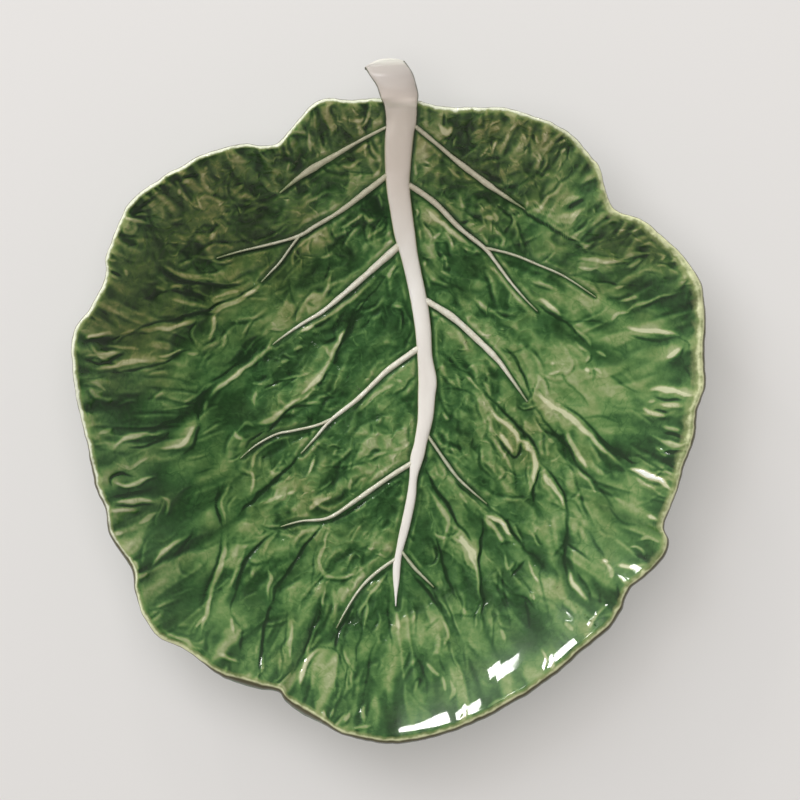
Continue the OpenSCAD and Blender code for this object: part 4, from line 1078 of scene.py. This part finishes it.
def build_midrib():
    """The midrib and the stem: a rounded strap that follows the leaf and leaves it at the rim"""
    legs = len(MIDRIB_SHARES) - 1
    rows = []
    for i, edges in enumerate(midrib_edges):
        on, arch, drop, thick = STEM_SHARES[i] if i < len(STEM_SHARES) else (1, 0, 0, 0)
        h_share = MIDRIB_H_SHARES[0] + (MIDRIB_H_SHARES[1] - MIDRIB_H_SHARES[0]) * i / legs
        free = (1 - on) * STEM_T * thick / 2
        rows.append([*edges, on, STEM_ARCH * arch - STEM_DROP * drop,
                     on * MIDRIB_H * h_share + free, on * LUTING_D + free])
    rows = smooth_rows(rows, MIDRIB_STEPS)
    left, right = rows[:, :2], rows[:, 2:4]
    on_leaf = soft_step(0, 1, rows[:, 4])
    across = left - right
    across /= np.hypot(across[:, 0], across[:, 1])[:, None]
    forward = np.column_stack([across[:, 1], -across[:, 0]])
    share = np.linspace(0, 1, len(rows))
    thin_end = 1 - 0.7 * soft_step(0.95, 1, share)

    # The end of the stem is rounded off by rings that close in on it
    cap = [(math.sin(b), math.cos(b)) for b in np.linspace(math.pi / 2, 0, STEM_CAP_RINGS + 1)[:-1]]
    order = [0] * STEM_CAP_RINGS + list(range(len(rows)))
    out = np.array([c[0] for c in cap] + [0] * len(rows))
    shrink = np.array([max(c[1], 0.02) for c in cap] + [1] * len(rows))[:, None]
    bulge = np.array([STEM_BULGE] * (STEM_CAP_RINGS + 1) + [0] * (len(rows) - 1))

    a = np.linspace(0, 2 * math.pi, MIDRIB_SIDES, endpoint=False)
    flat = np.sign(np.cos(a)) * np.abs(np.cos(a)) ** 0.8
    up = np.sign(np.sin(a)) * np.abs(np.sin(a)) ** 0.8
    middle = ((left + right) / 2)[order]
    half = ((right - left) / 2 * thin_end[:, None])[order]
    ahead = forward[order]
    forth = bulge[:, None] * (1 - flat ** 2) + 1.5 * (out - (np.array(order) == 0))[:, None]
    x = middle[:, :1] + half[:, :1] * flat + ahead[:, :1] * forth
    y = middle[:, 1:] + half[:, 1:] * flat + ahead[:, 1:] * forth
    lying = on_leaf[order][:, None]
    base = lying * ground_under(x, y) + (1 - lying) * (FLOOR_Z + RIM_RISE + rows[order, 5][:, None])
    rise = np.where(up > 0, rows[order, 6][:, None], rows[order, 7][:, None]) * shrink
    rings = np.stack([x, y, base + up * rise], -1)
    crown = np.sin(a) + 0 * base
    side = np.abs(np.cos(a)) + 0 * base
    along = np.concatenate([np.zeros(STEM_CAP_RINGS), share])[:, None] + 0 * a
    return tube("midrib_and_stem", rings, {"crown": crown, "side": side, "along": along})


def build_foot():
    """The foot: a turned ring, narrower and rounded where the plate stands on it"""
    slant = (FOOT_W - FOOT_FACE_W) / 2
    inner, outer = FOOT_R - FOOT_W, FOOT_R
    round_w = 0.9 * FOOT_ROUND
    bends = [math.pi / 2 * k / FOOT_ROUND_STEPS for k in range(FOOT_ROUND_STEPS + 1)]
    profile = [(inner, FOOT_H)]
    profile += [(inner + slant - round_w * math.cos(b), FOOT_ROUND * (1 - math.sin(b))) for b in bends]
    profile += [(outer - slant + round_w * math.sin(b), FOOT_ROUND * (1 - math.cos(b))) for b in bends]
    profile.append((outer, FOOT_H))
    turns = np.linspace(0, 2 * math.pi, FOOT_TURNS, endpoint=False)
    radius, height = np.array(profile).T
    points = np.stack([*spot_at(radius, turns[:, None]), height + 0 * turns[:, None]], -1)
    count = len(profile)
    faces = [
        (i * count + k, i * count + (k + 1) % count, (i + 1) % FOOT_TURNS * count + (k + 1) % count,
         (i + 1) % FOOT_TURNS * count + k)
        for i in range(FOOT_TURNS) for k in range(count)]
    return add_mesh("foot", points.reshape(-1, 3), faces, {})


def srgb(red, green, blue):
    """A colour from its 0 to 255 screen values"""
    linear = [c / 12.92 if c <= 0.04045 else ((c + 0.055) / 1.055) ** 2.4
              for c in (red / 255, green / 255, blue / 255)]
    return (*linear, 1.0)


class Nodes:
    """The node tree of a material or of the room, with short ways to add to it"""

    def __init__(self, owner):
        self.owner = owner
        owner.use_nodes = True
        self.tree = owner.node_tree
        self.tree.nodes.clear()

    def add(self, kind, settings=None, **inputs):
        """A node: i0 is its first input, any other name is a socket's, and a socket as value is linked"""
        node = self.tree.nodes.new("ShaderNode" + kind)
        for key, value in (settings or {}).items():
            setattr(node, key, value)
        for key, value in inputs.items():
            numbered = key[0] == "i" and key[1:].isdigit()
            socket = node.inputs[int(key[1:]) if numbered else key.replace("_", " ")]
            if isinstance(value, bpy.types.NodeSocket):
                self.tree.links.new(value, socket)
            else:
                socket.default_value = value
        return node

    def number(self, name):
        return self.add("Attribute", {"attribute_name": name}).outputs["Fac"]

    def place(self):
        return self.add("TexCoord").outputs["Object"]

    def along(self, axis):
        """How far along that axis of the plate a point lies, in metres"""
        return self.add("SeparateXYZ", Vector=self.place()).outputs[axis]

    def math(self, operation, a, b):
        return self.add("Math", {"operation": operation}, i0=a, i1=b).outputs[0]

    def plus(self, a, b):
        return self.math("ADD", a, b)

    def minus(self, a, b):
        return self.math("SUBTRACT", a, b)

    def times(self, a, b):
        return self.math("MULTIPLY", a, b)

    def fit(self, value, low, high, to_low=0.0, to_high=1.0):
        """Maps a number smoothly from one range to another"""
        return self.add("MapRange", {"interpolation_type": "SMOOTHSTEP"}, i0=value, i1=low, i2=high,
                        i3=to_low, i4=to_high).outputs[0]

    def noise(self, size_mm, detail=2.0, roughness=0.5, stretch=(1, 1, 1)):
        place = self.place()
        if stretch != (1, 1, 1):
            place = self.add("Mapping", i0=place, i3=stretch).outputs[0]
        return self.add("TexNoise", Vector=place, Scale=1 / (size_mm * MM), Detail=detail,
                        Roughness=roughness).outputs["Fac"]

    def wobble(self, amount, *noise_settings):
        """Noise that swings to both sides of 0 by about that amount"""
        return self.times(self.minus(self.noise(*noise_settings), 0.5), amount)

    def ridges(self, size_mm, detail):
        """Thin crests that wander between rounded hollows, from about 0 to 1"""
        height = self.add("TexNoise", {"noise_type": "RIDGED_MULTIFRACTAL"}, Vector=self.place(),
                          Scale=1 / (size_mm * MM), Detail=detail, Roughness=0.5, Offset=1.0, Gain=1.0,
                          Distortion=0.4).outputs["Fac"]
        return self.add("MapRange", i0=height, i1=0.3, i2=1.5, i3=0.0, i4=1.0).outputs[0]

    def net(self, size_mm):
        """Distance from the nearest line of an irregular, swaying net"""
        place = self.place()
        sway = self.add("TexNoise", Vector=place, Scale=1 / (size_mm * MM), Detail=2.0).outputs["Color"]
        bent = self.add("MixRGB", {"blend_type": "LINEAR_LIGHT"}, Fac=size_mm * MM * 0.6, Color1=place,
                        Color2=sway).outputs[0]
        return self.add("TexVoronoi", {"feature": "DISTANCE_TO_EDGE"}, Vector=bent,
                        Scale=1 / (size_mm * MM)).outputs["Distance"]

    def ramp(self, value, stops, colour_of=srgb):
        """Colours over a number, each stop given by its place and its colour's numbers"""
        node = self.add("ValToRGB", Fac=value)
        elements = node.color_ramp.elements
        while len(elements) < len(stops):
            elements.new(0.5)
        for element, (place, *colour) in zip(elements, stops):
            element.position = place
            element.color = colour_of(*colour)
        return node.outputs["Color"]

    def mix(self, share, a, b):
        return self.add("Mix", {"data_type": "RGBA"}, i0=share, i6=a, i7=b).outputs[2]

    def glaze(self, colour, roughness, coat_roughness, bump, bump_mm):
        normal = self.add("Bump", Strength=1.0, Distance=bump_mm * MM, Height=bump).outputs[0]
        shader = self.add("BsdfPrincipled", Base_Color=colour, Roughness=roughness, IOR=1.5, Normal=normal,
                          Coat_Normal=normal, Specular_IOR_Level=0.15, Coat_Weight=1.0,
                          Coat_Roughness=coat_roughness)
        self.add("OutputMaterial", Surface=shader.outputs[0])
        return self.owner


def leaf_glaze():
    """Green glaze: dark where it pools, pale where it runs thin over the crests, cream along the rim"""
    n = Nodes(bpy.data.materials.new("leaf_glaze"))
    level = n.plus(n.plus(n.number("level"), n.wobble(0.24, 2.4, 2.0, 0.55)), n.wobble(0.24, 8.0))
    # Hairlines where the glaze has gathered in the leaf's finest creases
    hairs = n.times(n.fit(n.net(7.5), 0.07, 0.0), n.fit(n.noise(14.0), 0.42, 0.62, 0.0, 0.08))
    level = n.minus(level, hairs)
    crumple = n.number("crumple")
    ridges = n.ridges(5.5, 2.5)
    level = n.plus(level, n.times(crumple, n.times(n.minus(ridges, 0.5), 0.16)))
    green = n.ramp(level, [
        (0.00, 20, 49, 18), (0.16, 32, 68, 28), (0.34, 53, 93, 45), (0.50, 82, 121, 63),
        (0.61, 106, 139, 78), (0.71, 134, 154, 97), (0.84, 160, 170, 124), (1.00, 204, 206, 166)])
    olive = n.ramp(level, [
        (0.00, 18, 26, 10), (0.28, 50, 58, 24), (0.52, 84, 92, 42), (0.66, 116, 118, 64),
        (0.78, 148, 145, 94), (1.00, 198, 190, 146)])
    colour = n.mix(n.times(n.number("brown"), n.fit(level, 0.3, 0.8, 0.55, 0.9)), green, olive)
    # Tones past 1.2 turn near white; the painted glints reach them, so there this white is a painted
    # highlight
    colour = n.mix(n.fit(level, 1.20, 1.40), colour, srgb(240, 242, 232))

    # The rim: a yellow green band, cream on the edge itself, whiter towards the upper left as a painted
    # highlight, and brown where it turns under
    ragged = n.plus(n.number("rim_gap"), n.wobble(2.6, 4.0))
    yellow = n.mix(n.fit(ragged, 3.7, 1.8, 0.0, 0.7), colour, srgb(150, 160, 104))
    # Painted highlight: the cream edge is whiter towards the upper left, the lit side
    rim_painted_light = n.fit(n.minus(n.along("Y"), n.along("X")), -0.02, 0.10)
    cream = n.mix(rim_painted_light, srgb(230, 232, 184), srgb(240, 242, 218))
    colour = n.mix(n.fit(ragged, 2.3, 1.0, 0.0, 0.9), yellow, cream)
    outer = n.plus(n.number("under"), n.wobble(0.2, 6.0))
    colour = n.mix(n.fit(outer, 0.38, 0.58), colour, srgb(84, 80, 50))
    below = n.ramp(n.noise(16.0, 4.0, 0.6), [(0.25, 40, 76, 42), (0.55, 66, 106, 58), (0.80, 96, 128, 78)])
    colour = n.mix(n.fit(outer, 0.75, 1.0), colour, below)

    roughness = n.fit(n.noise(12.0), 0.3, 0.7, 0.22, 0.34)
    soft_bump = n.times(n.noise(6.0, 2.0, 0.45), 0.25)
    return n.glaze(colour, roughness, 0.03, n.times(crumple, n.plus(soft_bump, ridges)), 0.45)


def vein_glaze():
    """Cream glaze of the side veins: pinkish towards the stem, green towards their ends and at their foot"""
    n = Nodes(bpy.data.materials.new("vein_glaze"))
    mottle = n.noise(3.0, 3.0, 0.6)
    cream = n.ramp(mottle, [(0.30, 220, 212, 190), (0.50, 235, 229, 211), (0.72, 243, 239, 226)])
    leafy = n.ramp(mottle, [(0.3, 112, 132, 82), (0.7, 160, 170, 116)])
    pinkish = n.ramp(mottle, [(0.3, 204, 192, 170), (0.7, 222, 212, 192)])
    cream = n.mix(n.fit(n.along("Y"), 0.050, 0.110), cream, pinkish)
    colour = n.mix(n.number("pale"), leafy, cream)
    colour = n.mix(n.fit(n.number("along"), 0.70, 1.0, 0.0, 0.8), colour, leafy)
    colour = n.mix(n.fit(n.number("crown"), 0.50, 0.0), colour, srgb(74, 100, 52))
    return n.glaze(colour, 0.3, 0.05, n.noise(2.5), 0.06)


def rib_glaze():
    """Warm white glaze of the midrib and stem, olive at the stem's edges and green on its underside, with
    painted shade towards the stem and painted light and shade along the stem
    """
    n = Nodes(bpy.data.materials.new("rib_glaze"))
    cloud = n.noise(14.0, 3.0, 0.55, (1, 0.4, 1))
    white = n.ramp(cloud, [(0.28, 232, 225, 216), (0.50, 240, 234, 225), (0.74, 246, 241, 234)])
    pinkish = n.ramp(cloud, [(0.3, 225, 211, 198), (0.7, 234, 220, 208)])
    height = n.along("Y")
    # Pinker and a little darker towards the stem: a pinker glaze, partly painted shade
    white = n.mix(n.fit(height, 0.060, 0.125), white, pinkish)
    # Painted light and shade along the stem: lighter and darker bands along its length, and a painted
    # highlight at its end
    up_stem = n.times(n.minus(height, STEM_FROM), 1 / STEM_PAINTED_SHADE_L)
    stem = n.ramp(up_stem, [
        (0.02, 222, 208, 196), (0.13, 226, 213, 201), (0.17, 243, 231, 219), (0.25, 236, 222, 210),
        (0.34, 218, 205, 194), (0.43, 206, 194, 184), (0.54, 189, 179, 170), (0.71, 180, 171, 164),
        (0.90, 184, 177, 169), (0.98, 222, 219, 208)])
    white = n.mix(n.fit(height, 0.142, 0.150), white, stem)
    edge = n.fit(n.plus(n.number("side"), n.times(n.noise(4.0), 0.12)), 0.95, 1.04)
    rim_line = n.mix(n.fit(height, 0.130, 0.140), srgb(200, 194, 150), srgb(66, 70, 36))
    colour = n.mix(edge, white, rim_line)
    colour = n.mix(n.fit(n.number("crown"), 0.10, -0.15), colour, srgb(86, 112, 62))
    return n.glaze(colour, 0.32, 0.30, n.noise(7.0), 0.12)


def foot_glaze():
    """The foot ring: green glaze wiped off the face that it stands on, where bare clay shows"""
    n = Nodes(bpy.data.materials.new("foot_glaze"))
    green = n.ramp(n.noise(12.0, 3.0, 0.6), [(0.3, 44, 80, 44), (0.7, 82, 118, 66)])
    clay = n.ramp(n.noise(1.2, 3.0, 0.7), [(0.3, 196, 182, 154), (0.7, 218, 206, 180)])
    bare = n.fit(n.plus(n.along("Z"), n.wobble(0.0012, 7.0)), 0.0014, 0.0008)
    roughness = n.fit(bare, 0.0, 1.0, 0.25, 0.85)
    return n.glaze(n.mix(bare, green, clay), roughness, 0.12, n.noise(1.5, 3.0, 0.6), 0.15)


def floor_paint(colour, share):
    """Pale matt floor, with painted shade that makes it a little darker to the left, and a share that glows
    with its own colour for the camera and reflections, a painted light that softens its shadows
    """
    n = Nodes(bpy.data.materials.new("floor_paint"))
    # Painted shade: the floor's colour is 4 % darker towards the left
    darker = tuple(c * 0.96 for c in colour[:3]) + (1.0,)
    tint = n.mix(n.fit(n.along("X"), -0.3, 0.3), darker, colour)
    matt = n.add("BsdfPrincipled", Base_Color=tint, Roughness=0.9, Specular_IOR_Level=0.2)
    # Painted light: a share of the floor glows with its own colour where the camera or a reflection sees it
    floor_glow = n.add("Emission", Color=tint, Strength=0.95)
    path = n.add("LightPath")
    seen = n.math("MAXIMUM", path.outputs["Is Camera Ray"], path.outputs["Is Glossy Ray"])
    shader = n.add("MixShader", i0=n.times(seen, share), i1=matt.outputs[0], i2=floor_glow.outputs[0])
    n.add("OutputMaterial", Surface=shader.outputs[0])
    return n.owner


place(build_leaf(), "leaf_dish", "leaf_glaze", leaf_glaze())
place(build_midrib(), "midrib_stem", "rib_glaze", rib_glaze())
place(build_foot(), "foot_ring", "foot_glaze", foot_glaze())
cream_glaze = vein_glaze()
for vein_name, vein_line in vein_lines.items():
    place(build_vein(vein_name, vein_line), vein_name, "vein_glaze", cream_glaze)

# The floor that the plate stands on
bpy.ops.mesh.primitive_plane_add(size=FLOOR_SIZE, location=(0, 0, 0))
floor = bpy.context.object
floor.name = "floor"
floor.data.materials.append(floor_paint(srgb(236, 233, 230), FLOOR_GLOW_SHARE))
floor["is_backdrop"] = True


def add_lamp(name, shape, spot, size, power, tint, mirrored):
    """An area lamp that faces the plate, and whether the glaze mirrors it"""
    light = bpy.data.lights.new(name, "AREA")
    light.shape = shape
    light.size, light.size_y = size
    light.energy = power
    light.color = tint
    lamp = bpy.data.objects.new(name, light)
    lamp.location = spot
    lamp.rotation_mode = "QUATERNION"
    lamp.rotation_quaternion = lamp.location.to_track_quat("Z", "Y")
    lamp.visible_camera = False
    lamp.visible_glossy = mirrored
    bpy.context.scene.collection.objects.link(lamp)


# Windows low beyond the upper left of the plate, each by the pixel of the photograph where the glaze mirrors
# it, and seen from there by its bearing from north over west, its height above the horizon, its width and
# its height in degrees, and its brightness
WINDOWS = [
    ((428, 721), 14.2, 17.8, 6.0, 4.0, 34.0), ((471, 701), 21.6, 17.0, 4.0, 3.0, 30.0),
    ((496, 670), 29.6, 23.9, 2.8, 3.4, 34.0), ((514, 662), 31.4, 21.9, 1.8, 3.8, 34.0),
    ((569, 640), 39.4, 13.7, 6.4, 3.0, 32.0), ((632, 565), 46.8, 14.4, 2.4, 3.4, 30.0)]
for k, (pixel, bearing, rise, wide, high, brightness) in enumerate(WINDOWS):
    b, e = math.radians(bearing), math.radians(rise)
    mirror_spot = np.array([*(on_plate(pixel) * MM), MIRROR_HEIGHT])
    way = np.array([-math.sin(b) * math.cos(e), math.cos(b) * math.cos(e), math.sin(e)])
    size = [2 * WINDOW_DISTANCE * math.tan(math.radians(angle / 2)) for angle in (wide, high)]
    add_lamp("window_%d" % k, "RECTANGLE", mirror_spot + way * WINDOW_DISTANCE, size,
             brightness * math.pi * size[0] * size[1], (1.0, 0.985, 0.96), True)

# Large soft lamps that leave no reflection, each by its place, its width, its power and its colour: a cool
# one beyond the upper left and a nearly neutral one higher up
SOFT_LAMPS = [
    ((-1.5, 1.7, 2.2), 2.0, 28.0, (0.93, 1.0, 1.075)),
    ((-0.45, 0.62, 2.5), 2.4, 34.0, (0.995, 0.985, 0.985))]
for k, (spot, wide, power, tint) in enumerate(SOFT_LAMPS):
    add_lamp("soft_lamp_%d" % k, "DISK", spot, (wide, wide), power, tint, False)


def build_room():
    """The room: pale warm walls, brightest on the windows' side, and dimmer overhead"""
    n = Nodes(bpy.data.worlds.new("room"))
    direction = n.add("TexCoord").outputs["Generated"]
    height = n.add("SeparateXYZ", Vector=direction).outputs["Z"]
    shade = n.ramp(height, [(0.0, 0.45), (0.38, 0.40), (0.65, 0.28), (0.90, 0.17)],
                   lambda value: (value, value * 0.957, value * 0.905, 1.0))
    away = n.add("VectorMath", {"operation": "DOT_PRODUCT"}, i0=direction, i1=(0.75, -0.45, 0.0))
    strength = n.plus(n.times(away.outputs["Value"], -0.15), 1.0)
    background = n.add("Background", Color=shade, Strength=strength)
    n.add("OutputWorld", Surface=background.outputs[0])
    return n.owner


bpy.context.scene.world = build_room()

# The camera looks straight down from far above, so the view is nearly flat
rim_level = FLOOR_Z + RIM_RISE
data = bpy.data.cameras.new("camera")
data.sensor_width = 36
data.lens = data.sensor_width * (CAMERA_HEIGHT - rim_level * MM) / (FRAME_PX * PX_MM * MM)
data.clip_end = 50
camera = bpy.data.objects.new("camera", data)
frame_mid = on_plate((FRAME_PX / 2, FRAME_PX / 2)) * MM
camera.location = (frame_mid[0], frame_mid[1], CAMERA_HEIGHT)
bpy.context.scene.collection.objects.link(camera)
bpy.context.scene.camera = camera
bpy.context.scene.view_settings.view_transform = "Standard"

low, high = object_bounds()
